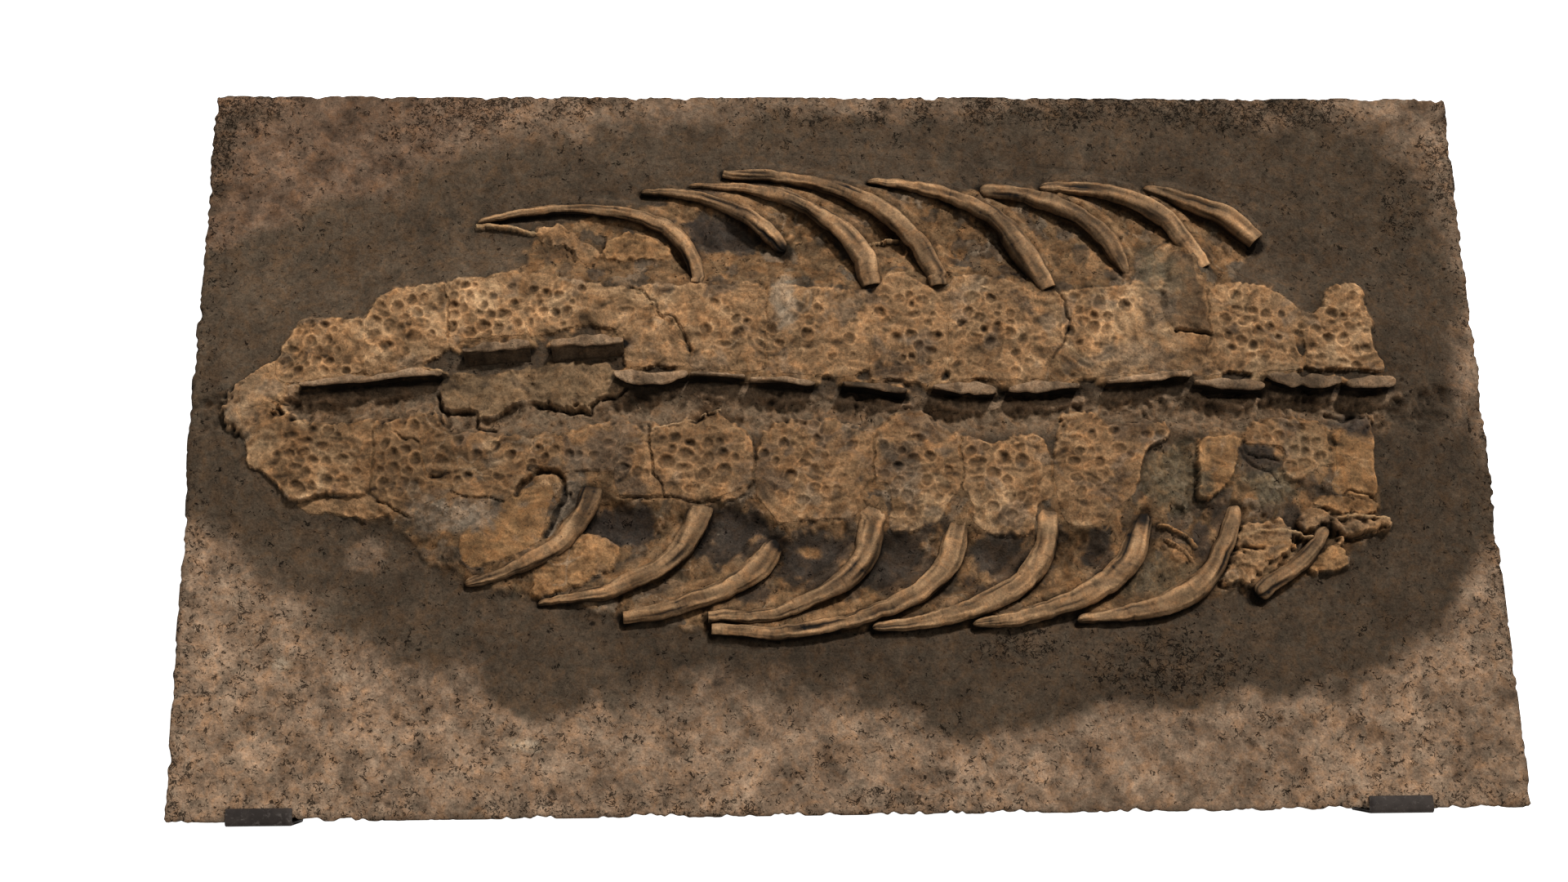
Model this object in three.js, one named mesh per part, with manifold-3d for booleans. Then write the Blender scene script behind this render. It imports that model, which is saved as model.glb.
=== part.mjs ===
// Steneosaurus fossil: the middle of a marine crocodile's body in a slab of limestone.
// Units are millimetres. +X runs along the body, +Y across it and +Z up out of the slab's face.
import * as THREE from 'three';
import Module from 'manifold-3d';

const wasm = await Module();
wasm.setup();

// Driving dimensions
const slabLength = 800;
const slabWidth = 463.5;
const slabThickness = 35;
const slabCellsAlong = 30;
const rimChip = 2.6;
const bedRise = 8;
const troughDepth = 5;
const troughPlace = 16;
const boneGap = 0.35;
const boneFoot = -9;
const scuteRise = 11;
const scuteCrown = 1.8;
const pitDepth = 2.6;
const pitSides = 5;
const spineRise = 21;
const archRise = 9.5;
const archSetback = 4.5;
const archOverhang = 2.6;
const spineBevel = 2;
const ribSections = 9;
const spineSections = 2;
const evenness = 0.28;
const clipWidth = 38;
const clipMetal = 2.2;
const clipLip = 8;
const clipBackLeg = 14;

// Rows of the slab's face from its lower edge to its upper one, closest together at the trough
const slabRows = [
  -slabWidth / 2, -206, -181, -156, -131, -107, -85, -63, -41, -19, 2, 9, troughPlace, 23, 30,
  51, 74, 98, 123, 149, 176, 204, slabWidth / 2,
];

// The clips stand out past the lower edge, so the slab sits a little up from the middle
const slabShift = (clipMetal + boneGap) / 2;

const slabStone = { color: 0x5f5040, roughness: 0.85, metalness: 0 };
const boneTan = { color: 0xa98055, roughness: 0.6, metalness: 0 };
const clipPaint = { color: 0x2b2a2c, roughness: 0.5, metalness: 0.6 };

// The view that the outlines were read in: a 1920 by 1080 frame, 48 mm lens on 36 mm,
// placed from the middle of the slab's face
const viewCentre = [960, 540];
const viewFocal = 2560;
const viewPlace = new THREE.Vector3(-93.1, -393.3, 1223.4);
const viewTurn = new THREE.Euler(
  THREE.MathUtils.degToRad(17.72),
  THREE.MathUtils.degToRad(-2.24),
  THREE.MathUtils.degToRad(-0.96),
  'ZYX',
);

// Where a point of the view meets the level that lies `height` above the slab's face
function fromView([u, v], height) {
  const ray = new THREE.Vector3(
    (u - viewCentre[0]) / viewFocal,
    (viewCentre[1] - v) / viewFocal,
    -1,
  ).applyEuler(viewTurn);
  const reach = (height - viewPlace.z) / ray.z;
  return new THREE.Vector2(
    viewPlace.x + ray.x * reach,
    viewPlace.y + ray.y * reach + slabShift,
  );
}

// One frame pixel on the slab's face, in millimetres
const pixelSize = 0.52;

// Upper plates: outline, and the larger pits as [u, v, radius along, radius across]
const upperScutes = [
  {
    outline: [[366, 391], [400, 389], [443, 393], [447, 420], [446, 452], [420, 461],
      [384, 466], [352, 469], [339, 462], [338, 448], [344, 424], [358, 411]],
    pits: [[381, 397, 6, 6], [399, 397, 6, 6], [381, 418, 7, 7], [402, 417, 6, 6],
      [360, 432, 7, 5], [389, 444, 6, 6], [353, 449, 7, 5], [414, 452, 6, 6]],
  },
  {
    outline: [[449, 392], [456, 369], [470, 355], [505, 350], [530, 344], [546, 347],
      [548, 400], [545, 432], [520, 444], [490, 451], [450, 456]],
    pits: [[487, 379, 8, 7], [511, 385, 7, 6], [460, 397, 7, 7], [480, 402, 7, 8],
      [507, 412, 8, 7], [528, 409, 6, 7], [474, 424, 8, 6], [500, 430, 7, 6], [512, 362, 7, 6]],
  },
  {
    outline: [[549, 348], [583, 339], [620, 333], [645, 335], [645, 375], [643, 409],
      [620, 412], [585, 415], [566, 419], [552, 428], [549, 400]],
    pits: [[572, 366, 6, 7], [596, 364, 7, 6], [588, 385, 7, 7], [609, 389, 8, 7],
      [562, 389, 7, 7], [556, 404, 6, 8], [577, 404, 8, 6], [605, 404, 7, 5]],
  },
  {
    outline: [[647, 336], [690, 340], [740, 348], [768, 352], [783, 361], [803, 386],
      [828, 401], [841, 424], [841, 448], [800, 447], [766, 449], [762, 410],
      [740, 402], [700, 403], [677, 408], [660, 411], [647, 407]],
    pits: [[655, 357, 6, 6], [672, 361, 6, 6], [655, 384, 5, 7], [672, 385, 8, 6],
      [692, 383, 7, 6], [767, 382, 9, 5]],
  },
  {
    outline: [[772, 350], [840, 346], [890, 348], [935, 350], [937, 420], [930, 453],
      [880, 452], [847, 450], [846, 423], [832, 398], [807, 382], [787, 357]],
    pits: [[876, 373, 7, 6], [898, 388, 7, 6], [878, 397, 6, 8], [904, 408, 8, 7],
      [888, 420, 8, 5], [865, 403, 7, 6], [917, 394, 6, 6]],
  },
  {
    outline: [[940, 352], [965, 345], [1000, 350], [1045, 352], [1068, 356], [1066, 400],
      [1062, 448], [1038, 462], [1000, 460], [960, 458], [942, 455], [940, 410]],
    pits: [[969, 357, 7, 5], [984, 382, 8, 8], [988, 405, 8, 7], [949, 405, 6, 8],
      [1040, 415, 7, 6], [1047, 394, 6, 6], [1018, 437, 7, 5], [1045, 437, 6, 5]],
  },
  {
    outline: [[1072, 352], [1085, 336], [1092, 327], [1112, 337], [1134, 345], [1145, 357],
      [1160, 358], [1160, 400], [1158, 448], [1150, 464], [1120, 468], [1090, 463],
      [1066, 461], [1068, 400]],
    pits: [[1083, 366, 7, 5], [1100, 366, 6, 6], [1130, 368, 7, 7], [1078, 386, 8, 7],
      [1118, 386, 9, 6], [1140, 392, 6, 6], [1105, 413, 10, 7], [1143, 411, 8, 6],
      [1133, 427, 8, 6], [1110, 437, 7, 5]],
  },
  {
    outline: [[1162, 360], [1166, 340], [1200, 335], [1230, 340], [1262, 357], [1278, 372],
      [1281, 400], [1277, 420], [1284, 448], [1283, 463], [1240, 467], [1215, 466],
      [1180, 464], [1162, 463]],
    pits: [[1190, 367, 9, 8], [1214, 364, 7, 6], [1187, 385, 8, 7], [1202, 396, 7, 8],
      [1237, 390, 7, 8], [1221, 402, 7, 6], [1238, 408, 7, 6], [1198, 415, 9, 6],
      [1253, 415, 7, 6], [1246, 436, 9, 6]],
  },
  {
    outline: [[1291, 372], [1297, 359], [1330, 350], [1372, 348], [1394, 354], [1398, 395],
      [1392, 430], [1380, 455], [1350, 462], [1318, 463], [1289, 463], [1287, 430],
      [1299, 400]],
    pits: [[1318, 381, 7, 7], [1326, 394, 7, 6], [1309, 405, 7, 7], [1345, 371, 8, 7],
      [1343, 389, 8, 7], [1347, 405, 10, 6], [1322, 419, 7, 6], [1350, 423, 9, 5],
      [1376, 376, 8, 7]],
  },
  {
    outline: [[1480, 356], [1505, 345], [1545, 348], [1575, 365], [1597, 385], [1589, 400],
      [1585, 415], [1596, 440], [1597, 452], [1550, 455], [1500, 457], [1480, 457],
      [1479, 400]],
    pits: [[1512, 363, 7, 6], [1514, 380, 7, 6], [1534, 381, 7, 6], [1552, 386, 7, 7],
      [1501, 391, 7, 7], [1526, 395, 9, 6], [1544, 407, 9, 7], [1567, 387, 7, 6],
      [1518, 422, 8, 7], [1532, 432, 7, 8], [1546, 441, 7, 7]],
  },
  {
    outline: [[1603, 385], [1620, 371], [1624, 352], [1645, 345], [1668, 351], [1677, 390],
      [1682, 405], [1679, 415], [1695, 440], [1698, 454], [1650, 452], [1603, 451],
      [1601, 430], [1592, 412], [1596, 398]],
    pits: [[1639, 355, 6, 5], [1662, 367, 9, 6], [1628, 386, 8, 7], [1608, 392, 6, 7],
      [1650, 390, 9, 6], [1652, 403, 8, 6], [1626, 414, 9, 8], [1645, 419, 7, 6],
      [1665, 429, 9, 6], [1618, 440, 8, 6], [1648, 445, 9, 6]],
  },
];

// Lower plates
const lowerScutes = [
  {
    outline: [[300, 506], [330, 501], [365, 513], [410, 514], [452, 514], [457, 535],
      [455, 570], [451, 603], [420, 606], [395, 606], [370, 613], [355, 612], [338, 595],
      [320, 577], [302, 571], [299, 545], [296, 529]],
    pits: [[366, 537, 9, 6], [383, 529, 8, 6], [405, 530, 7, 6], [414, 542, 8, 5],
      [364, 556, 9, 5], [391, 564, 9, 6], [419, 563, 8, 6], [366, 575, 8, 6],
      [378, 594, 8, 6], [403, 590, 8, 7], [423, 590, 6, 6]],
  },
  {
    outline: [[460, 513], [480, 509], [500, 513], [531, 502], [543, 508], [549, 524],
      [521, 528], [514, 545], [517, 570], [524, 587], [548, 590], [550, 603], [520, 618],
      [505, 633], [480, 622], [455, 607], [459, 570], [461, 535]],
    pits: [[469, 561, 7, 6], [483, 559, 7, 7], [497, 553, 7, 5], [481, 576, 7, 7],
      [497, 579, 6, 5], [507, 564, 6, 7], [470, 592, 8, 6], [511, 593, 8, 7],
      [486, 602, 8, 6], [468, 543, 6, 7]],
  },
  {
    outline: [[523, 531], [548, 529], [575, 526], [590, 533], [640, 533], [650, 548],
      [641, 565], [648, 575], [636, 592], [628, 603], [615, 613], [590, 607], [575, 610],
      [554, 602], [551, 588], [527, 583], [519, 568], [516, 546]],
    pits: [[540, 536, 8, 5], [562, 540, 7, 6], [579, 558, 8, 5], [538, 567, 8, 7],
      [566, 587, 8, 6], [592, 580, 9, 5]],
  },
  {
    outline: [[653, 547], [657, 531], [700, 533], [720, 521], [755, 513], [760, 525],
      [755, 545], [751, 560], [748, 577], [720, 577], [690, 580], [665, 575], [644, 563]],
    pits: [[661, 553, 7, 5], [700, 557, 9, 7], [745, 545, 8, 5]],
  },
  {
    outline: [[763, 526], [775, 518], [788, 519], [793, 536], [797, 556], [799, 577],
      [808, 592], [811, 605], [800, 607], [780, 610], [762, 608], [757, 600], [752, 586],
      [753, 563], [758, 545]],
    pits: [[769, 555, 8, 5], [763, 576, 8, 6], [777, 582, 8, 5]],
  },
  {
    outline: [[796, 525], [820, 520], [850, 511], [878, 504], [905, 520], [918, 535],
      [921, 560], [920, 588], [905, 599], [880, 608], [850, 614], [830, 611], [814, 604],
      [804, 588], [801, 570], [796, 545]],
    pits: [[826, 541, 8, 7], [846, 544, 7, 6], [868, 544, 7, 6], [836, 561, 9, 7],
      [816, 568, 8, 8], [837, 579, 9, 6], [865, 562, 7, 7], [863, 583, 7, 8],
      [884, 580, 8, 8], [846, 600, 9, 5], [822, 598, 7, 7]],
  },
  {
    outline: [[937, 524], [948, 515], [980, 510], [1010, 515], [1030, 511], [1062, 528],
      [1068, 545], [1067, 580], [1062, 597], [1050, 612], [1050, 631], [1015, 637],
      [975, 640], [951, 643], [946, 633], [935, 620], [925, 608], [925, 590], [925, 560],
      [931, 540]],
    pits: [[936, 555, 6, 6], [960, 544, 7, 6], [984, 538, 9, 5], [956, 520, 6, 6],
      [1002, 540, 7, 6], [983, 569, 8, 5], [967, 583, 7, 7], [998, 599, 8, 7],
      [1020, 600, 8, 6], [982, 612, 7, 5]],
  },
  {
    outline: [[1077, 530], [1086, 516], [1105, 505], [1130, 500], [1145, 505], [1152, 522],
      [1173, 532], [1174, 560], [1177, 598], [1164, 612], [1158, 624], [1152, 637],
      [1135, 645], [1115, 652], [1096, 653], [1087, 648], [1091, 612], [1085, 593],
      [1072, 590], [1071, 560]],
    pits: [[1084, 547, 7, 6], [1082, 580, 7, 5], [1101, 571, 6, 6], [1100, 589, 6, 5],
      [1120, 563, 7, 7], [1122, 537, 13, 6], [1107, 608, 8, 6], [1105, 628, 8, 6],
      [1140, 585, 7, 6]],
  },
  {
    outline: [[1179, 531], [1197, 536], [1215, 541], [1245, 531], [1263, 531], [1280, 537],
      [1285, 560], [1287, 590], [1288, 611], [1274, 617], [1268, 640], [1263, 655],
      [1220, 656], [1205, 651], [1193, 640], [1193, 620], [1182, 601], [1179, 565]],
    pits: [[1197, 567, 9, 7], [1205, 550, 7, 5], [1229, 562, 8, 7], [1252, 565, 8, 7],
      [1248, 548, 8, 5], [1217, 580, 8, 7], [1195, 590, 10, 5], [1241, 609, 12, 6],
      [1216, 621, 7, 7], [1239, 628, 7, 6], [1265, 602, 7, 5]],
  },
  {
    outline: [[1294, 522], [1300, 505], [1325, 499], [1345, 506], [1352, 520], [1385, 516],
      [1400, 511], [1430, 516], [1432, 535], [1410, 545], [1400, 560], [1398, 580],
      [1394, 600], [1380, 612], [1362, 626], [1350, 640], [1312, 644], [1300, 625],
      [1292, 600], [1290, 565]],
    pits: [[1306, 534, 13, 6], [1335, 533, 7, 6], [1336, 556, 7, 6], [1321, 554, 6, 5],
      [1316, 565, 8, 5], [1368, 549, 9, 6], [1366, 569, 8, 5], [1318, 588, 8, 6],
      [1340, 588, 8, 5], [1356, 593, 6, 5], [1420, 532, 8, 5]],
  },
  {
    outline: [[1523, 541], [1529, 522], [1536, 513], [1570, 511], [1600, 513], [1617, 509],
      [1622, 530], [1630, 548], [1633, 568], [1617, 572], [1600, 582], [1590, 591],
      [1580, 587], [1569, 577], [1574, 560], [1567, 547], [1545, 546], [1532, 545]],
    pits: [[1577, 527, 7, 7], [1593, 528, 7, 6], [1580, 553, 4, 6], [1592, 554, 6, 7],
      [1615, 560, 8, 7], [1596, 569, 7, 7], [1580, 573, 7, 7], [1597, 542, 6, 5],
      [1565, 536, 6, 5]],
  },
];

// Smooth bones without pits: the rise is above the slab's face
const smoothBones = [
  {
    name: 'end_plate_left',
    rise: 11,
    outline: [[303, 455], [315, 450], [337, 441], [336, 461], [349, 471], [362, 470],
      [369, 485], [345, 491], [330, 496], [302, 500], [294, 491], [298, 463]],
  },
  {
    name: 'end_lump_left',
    rise: 14,
    outline: [[271, 480], [283, 470], [294, 462], [295, 473], [289, 490], [292, 502],
      [294, 528], [288, 530], [278, 525], [270, 517], [268, 500]],
  },
  {
    name: 'end_plate_lower_right',
    rise: 11,
    outline: [[1470, 536], [1500, 533], [1519, 533], [1518, 548], [1513, 570],
      [1507, 590], [1482, 612], [1465, 607], [1468, 590], [1467, 560]],
  },
  {
    name: 'end_plate_right',
    rise: 10,
    outline: [[1655, 520], [1668, 511], [1678, 498], [1687, 497], [1685, 530],
      [1683, 560], [1686, 580], [1688, 603], [1676, 609], [1655, 606], [1633, 604],
      [1629, 590], [1636, 575], [1635, 547], [1631, 530]],
  },
  {
    name: 'bone_sheet_lower_left',
    rise: 9,
    outline: [[615, 615], [634, 607], [642, 598], [656, 590], [670, 587], [676, 593],
      [678, 605], [675, 620], [668, 640], [665, 655], [660, 664], [643, 674], [625, 684],
      [600, 692], [580, 697], [565, 690], [561, 670], [570, 650], [590, 635], [605, 622]],
  },
];

// Neural spines: the top edge from left to right, and the pad of the arch south of it
const spines = [
  { edge: [[368, 469], [410, 466], [460, 461], [538, 458]], width: 3.5, arch: 22 },
  { edge: [[566, 426], [605, 421], [647, 419]], width: 4.5, arch: 62, lean: 7 },
  { edge: [[677, 415], [715, 411], [760, 412]], width: 4.5, arch: 66, lean: 7 },
  { edge: [[753, 460], [790, 462], [838, 459]], width: 5, arch: 20 },
  { edge: [[845, 458], [876, 458], [912, 460]], width: 3, arch: 22 },
  { edge: [[920, 465], [960, 464], [1008, 468]], width: 3, arch: 24 },
  { edge: [[1032, 471], [1070, 471], [1110, 476]], width: 4, arch: 22 },
  { edge: [[1145, 476], [1182, 475], [1220, 479]], width: 4.5, arch: 22 },
  { edge: [[1236, 477], [1280, 472], [1322, 470]], width: 3.2, arch: 24 },
  { edge: [[1360, 465], [1415, 459], [1461, 456]], width: 3.2, arch: 26 },
  { edge: [[1468, 468], [1510, 468], [1550, 470]], width: 4, arch: 24 },
  { edge: [[1562, 458], [1605, 461], [1648, 461]], width: 4.5, arch: 24 },
  { edge: [[1656, 465], [1682, 464], [1710, 462]], width: 3.8, arch: 20 },
];

// Ribs: middle line as [u, v, width in mm, rise above the slab's face]
const upperRibs = [
  [[586, 271, 3, 3], [640, 260, 5, 5], [700, 254, 5, 7], [745, 256, 6, 8],
    [785, 264, 8, 9], [818, 279, 9, 10], [840, 300, 10, 11], [851, 325, 9, 11],
    [853, 344, 8, 11]],
  [[784, 234, 3, 3], [830, 235, 5, 6], [870, 243, 7, 8], [905, 258, 9, 9],
    [935, 277, 10, 9], [962, 304, 10, 8]],
  [[842, 227, 2, 3], [910, 229, 5, 6], [955, 237, 8, 8], [1000, 257, 10, 10],
    [1035, 283, 13, 12], [1057, 310, 15, 13], [1064, 330, 15, 13], [1067, 346, 15, 13]],
  [[886, 211, 4, 5], [950, 214, 6, 7], [1010, 225, 8, 8], [1060, 242, 9, 10],
    [1100, 268, 12, 12], [1128, 300, 14, 13], [1146, 330, 13, 13], [1149, 347, 12, 13]],
  [[1066, 221, 2, 4], [1130, 229, 7, 7], [1180, 244, 9, 9], [1220, 264, 11, 11],
    [1248, 295, 14, 13], [1268, 325, 15, 14], [1284, 351, 13, 14]],
  [[1200, 231, 7, 6], [1250, 236, 9, 8], [1290, 246, 11, 10], [1325, 263, 11, 11],
    [1353, 285, 12, 12], [1370, 310, 10, 12], [1380, 334, 5, 11]],
  [[1272, 227, 5, 6], [1330, 229, 9, 8], [1380, 239, 10, 10], [1420, 258, 13, 11],
    [1445, 283, 13, 12], [1463, 308, 11, 13], [1474, 325, 9, 13]],
  [[1402, 229, 4, 6], [1450, 242, 10, 9], [1490, 256, 12, 11], [1518, 272, 13, 12],
    [1537, 290, 11, 12]],
];

const lowerRibs = [
  [[728, 582, 14, 10], [722, 605, 14, 11], [712, 628, 14, 11], [697, 650, 13, 10],
    [675, 670, 12, 10], [650, 684, 10, 9], [620, 698, 9, 7], [590, 708, 8, 6],
    [567, 714, 4, 4]],
  [[855, 622, 18, 9], [845, 652, 16, 10], [830, 675, 13, 10], [808, 693, 12, 10],
    [780, 707, 11, 9], [745, 722, 11, 8], [700, 731, 8, 6], [656, 739, 3, 3]],
  [[951, 661, 12, 7], [935, 684, 15, 9], [912, 705, 14, 9], [885, 720, 12, 9],
    [850, 733, 10, 9], [815, 746, 9, 9], [764, 755, 7, 7]],
  [[1070, 612, 17, 10], [1068, 650, 17, 11], [1058, 682, 15, 11], [1038, 705, 13, 11],
    [1012, 722, 11, 10], [982, 738, 9, 9], [950, 750, 7, 8], [910, 753, 6, 8],
    [868, 754, 5, 8]],
  [[1178, 620, 16, 10], [1172, 655, 17, 11], [1163, 685, 16, 11], [1145, 707, 14, 11],
    [1118, 728, 12, 11], [1085, 744, 10, 10], [1045, 757, 9, 9], [1000, 767, 9, 8],
    [950, 773, 8, 8], [872, 769, 5, 7]],
  [[1286, 625, 15, 10], [1283, 655, 16, 11], [1275, 680, 16, 11], [1258, 705, 15, 11],
    [1235, 723, 14, 11], [1205, 738, 12, 10], [1170, 750, 10, 9], [1130, 759, 8, 8],
    [1070, 767, 4, 6]],
  [[1396, 648, 13, 9], [1388, 678, 15, 10], [1370, 700, 16, 11], [1345, 718, 15, 11],
    [1312, 735, 13, 10], [1275, 747, 11, 9], [1235, 756, 8, 8], [1192, 761, 4, 6]],
  [[1515, 620, 8, 10], [1508, 645, 10, 11], [1498, 672, 11, 11], [1484, 700, 13, 10],
    [1462, 720, 16, 9], [1432, 736, 14, 8], [1385, 749, 10, 7], [1320, 757, 4, 5]],
  [[1624, 647, 8, 9], [1606, 676, 10, 10], [1582, 697, 10, 10], [1557, 712, 11, 9],
    [1543, 726, 11, 8]],
];

// Relief of the matrix: hollows and low lumps as [u, v, radius along, radius across, rise]
const faceRelief = [
  [767, 646, 48, 26, -4], [895, 655, 46, 38, -5], [1008, 660, 42, 22, -3],
  [1120, 680, 30, 26, -3], [1232, 682, 32, 28, -3], [1336, 682, 22, 24, -5],
  [1440, 585, 40, 50, -5], [920, 288, 52, 28, -4], [1080, 290, 26, 30, -2],
  [1190, 300, 36, 36, -1], [1320, 310, 40, 26, 2], [1590, 665, 18, 26, -3],
  [785, 303, 44, 19, 4], [690, 293, 46, 16, 4], [706, 690, 52, 34, 5],
  [1453, 352, 26, 52, 7], [1545, 680, 42, 36, 5], [1645, 642, 62, 10, 6],
  [1630, 690, 22, 15, 5], [1425, 430, 52, 22, 3], [560, 640, 46, 36, 2],
];

// Clips: the middle of each on the lower edge, in the view
const clipPlaces = { clip_left: [317, 1004], clip_right: [1716, 992] };

const bedEnds = [fromView([330, 490], 0), fromView([1660, 490], 0)];
const bedHalfWidth = 45;
const bedSlope = 50;
const troughFloor = 5;
const troughBank = 14;
const waveRise = 0.5;
const reliefSpots = faceRelief.map(([u, v, along, across, rise]) => ({
  middle: fromView([u, v], 0),
  along: along * pixelSize,
  across: across * pixelSize,
  rise,
}));

// Height of the matrix above the slab's face: a bed under the bones, a trough along the spines
// and the hollows and lumps of the face
function matrixHeight(x, y) {
  const alongBed = THREE.MathUtils.clamp(x, bedEnds[0].x, bedEnds[1].x);
  const away = Math.hypot(x - alongBed, y - bedEnds[0].y);
  const offBed = THREE.MathUtils.smoothstep(away, bedHalfWidth, bedHalfWidth + bedSlope);
  const offTrough = THREE.MathUtils.smoothstep(Math.abs(y - slabShift - troughPlace), troughFloor, troughBank);
  let height = (bedRise - troughDepth * (1 - offTrough)) * (1 - offBed);
  for (const spot of reliefSpots) {
    const reach = Math.hypot((x - spot.middle.x) / spot.along, (y - spot.middle.y) / spot.across);
    height += spot.rise * (1 - THREE.MathUtils.smoothstep(reach, 0.4, 1.5));
  }
  return height + waveRise * Math.sin(x / 31 + y / 17) * Math.cos(y / 29 - x / 53);
}

// A repeatable value from -1 to 1 for the n-th chip of the rim
function chipAt(n) {
  const wave = Math.sin(n * 12.9898 + 4.1) * 43758.5453;
  return 2 * (wave - Math.floor(wave)) - 1;
}

function toSolid(points, triangles) {
  return new wasm.Manifold(new wasm.Mesh({
    numProp: 3,
    vertProperties: new Float32Array(points.flat()),
    triVerts: new Uint32Array(triangles.flat()),
  }));
}

// The slab: a grid of cells on top, straight sides down from the chipped rim and a flat underside
function slabSolid(lift) {
  const points = [];
  const triangles = [];
  const columns = slabCellsAlong + 1;
  const slabCellsAcross = slabRows.length - 1;
  const topIndex = (i, j) => j * columns + i;
  for (let j = 0; j <= slabCellsAcross; j++) {
    for (let i = 0; i <= slabCellsAlong; i++) {
      const atEnd = i === 0 || i === slabCellsAlong;
      const atEdge = j === 0 || j === slabCellsAcross;
      let x = (i / slabCellsAlong - 0.5) * slabLength;
      let y = slabRows[j];
      let z = slabThickness;
      if (atEnd !== atEdge) {
        const chip = Math.abs(chipAt(i + 57 * j)) * rimChip;
        x -= atEnd ? Math.sign(x) * chip : 0;
        y -= atEdge ? Math.sign(y) * chip : 0;
      }
      z += atEnd || atEdge ? -0.6 * rimChip * Math.abs(chipAt(i * 3 + j)) : matrixHeight(x, y + slabShift);
      points.push([x, y + slabShift, z + lift]);
    }
  }
  for (let j = 0; j < slabCellsAcross; j++) {
    for (let i = 0; i < slabCellsAlong; i++) {
      const corner = topIndex(i, j);
      triangles.push([corner, corner + 1, corner + columns + 1]);
      triangles.push([corner, corner + columns + 1, corner + columns]);
    }
  }
  const rim = [];
  for (let i = 0; i < slabCellsAlong; i++) rim.push(topIndex(i, 0));
  for (let j = 0; j < slabCellsAcross; j++) rim.push(topIndex(slabCellsAlong, j));
  for (let i = slabCellsAlong; i > 0; i--) rim.push(topIndex(i, slabCellsAcross));
  for (let j = slabCellsAcross; j > 0; j--) rim.push(topIndex(0, j));
  const foot = points.length;
  for (const index of rim) points.push([points[index][0], points[index][1], lift]);
  rim.forEach((index, n) => {
    const next = (n + 1) % rim.length;
    triangles.push([index, foot + n, foot + next]);
    triangles.push([index, foot + next, rim[next]]);
  });
  const outline = rim.map((index) => new THREE.Vector2(points[index][0], points[index][1]));
  for (const [a, b, c] of THREE.ShapeUtils.triangulateShape(outline, [])) {
    triangles.push([foot + a, foot + c, foot + b]);
  }
  return toSolid(points, triangles);
}

// Moves an outline outwards by `grow` along the bisector at each corner
function growOutline(outline, grow) {
  return outline.map((point, n) => {
    const before = outline[(n + outline.length - 1) % outline.length];
    const after = outline[(n + 1) % outline.length];
    const along = after.clone().sub(before).normalize();
    return new THREE.Vector2(point.x + along.y * grow, point.y - along.x * grow);
  });
}

// A bone plate with upright sides, a crown that rises to its middle, and pits in its top
function plateSolid({ outline, pits = [], rise, crown = scuteCrown }, grow) {
  let rim = outline.map((pixel) => fromView(pixel, rise));
  if (THREE.ShapeUtils.area(rim) < 0) rim.reverse();
  rim = growOutline(rim, grow);
  const middle = rim.reduce((sum, p) => sum.add(p), new THREE.Vector2()).divideScalar(rim.length);
  const radius = Math.max(...rim.map((p) => p.distanceTo(middle)));
  const crownAt = (p) => rise + grow + crown * (1 - (p.distanceTo(middle) / radius) ** 2);
  const holes = pits.map(([u, v, along, across]) => {
    const centre = fromView([u, v], rise);
    return Array.from({ length: pitSides }, (_, n) => {
      const turn = -(n / pitSides) * 2 * Math.PI;
      return new THREE.Vector2(
        centre.x + Math.cos(turn) * along * pixelSize,
        centre.y + Math.sin(turn) * across * pixelSize,
      );
    });
  });
  const top = [...rim, ...holes.flat()];
  const points = top.map((p) => [p.x, p.y, slabThickness + crownAt(p)]);
  const triangles = [...THREE.ShapeUtils.triangulateShape(rim, holes)];
  let ring = rim.length;
  for (const hole of holes) {
    const centre = hole.reduce((sum, p) => sum.add(p), new THREE.Vector2()).divideScalar(pitSides);
    points.push([centre.x, centre.y, slabThickness + crownAt(centre) - pitDepth]);
    for (let n = 0; n < pitSides; n++) {
      triangles.push([ring + n, points.length - 1, ring + ((n + 1) % pitSides)]);
    }
    ring += pitSides;
  }
  // Pit floors were added above, so the hole rings keep their places in the list
  const foot = points.length;
  for (const p of rim) points.push([p.x, p.y, slabThickness + boneFoot]);
  rim.forEach((p, n) => {
    const next = (n + 1) % rim.length;
    triangles.push([n, foot + n, foot + next], [n, foot + next, next]);
  });
  for (const [a, b, c] of THREE.ShapeUtils.triangulateShape(rim, [])) {
    triangles.push([foot + a, foot + c, foot + b]);
  }
  return toSolid(points, triangles);
}

// Joins a row of closed sections into one solid, each a ring of points in the same order
function loftSolid(sections) {
  const sides = sections[0].length;
  const points = sections.flat();
  const triangles = [];
  for (let s = 0; s + 1 < sections.length; s++) {
    for (let n = 0; n < sides; n++) {
      const a = s * sides + n;
      const b = s * sides + ((n + 1) % sides);
      triangles.push([a, b, b + sides], [a, b + sides, a + sides]);
    }
  }
  const last = (sections.length - 1) * sides;
  for (let n = 1; n + 1 < sides; n++) {
    triangles.push([0, n + 1, n], [last, last + n, last + n + 1]);
  }
  return toSolid(points, triangles);
}

// Points of a bone's middle line, with the way across it at each
function middleLine(stations, count, grow) {
  const curve = new THREE.CatmullRomCurve3(stations.map(([u, v, , rise]) => {
    const place = fromView([u, v], rise);
    return new THREE.Vector3(place.x, place.y, rise);
  }), false, 'centripetal');
  const widths = new THREE.SplineCurve(stations.map(([, , width], n) => new THREE.Vector2(n, width)));
  return Array.from({ length: count + 1 }, (_, n) => {
    const t = n / count;
    const place = curve.getPoint(t);
    const along = curve.getTangent(t).setZ(0).normalize();
    const outward = n === 0 ? -grow : n === count ? grow : 0;
    place.addScaledVector(along, outward);
    const across = new THREE.Vector2(-along.y, along.x);
    return { place, across, width: Math.max(widths.getPoint(t).y, 1.5) };
  });
}

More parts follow.
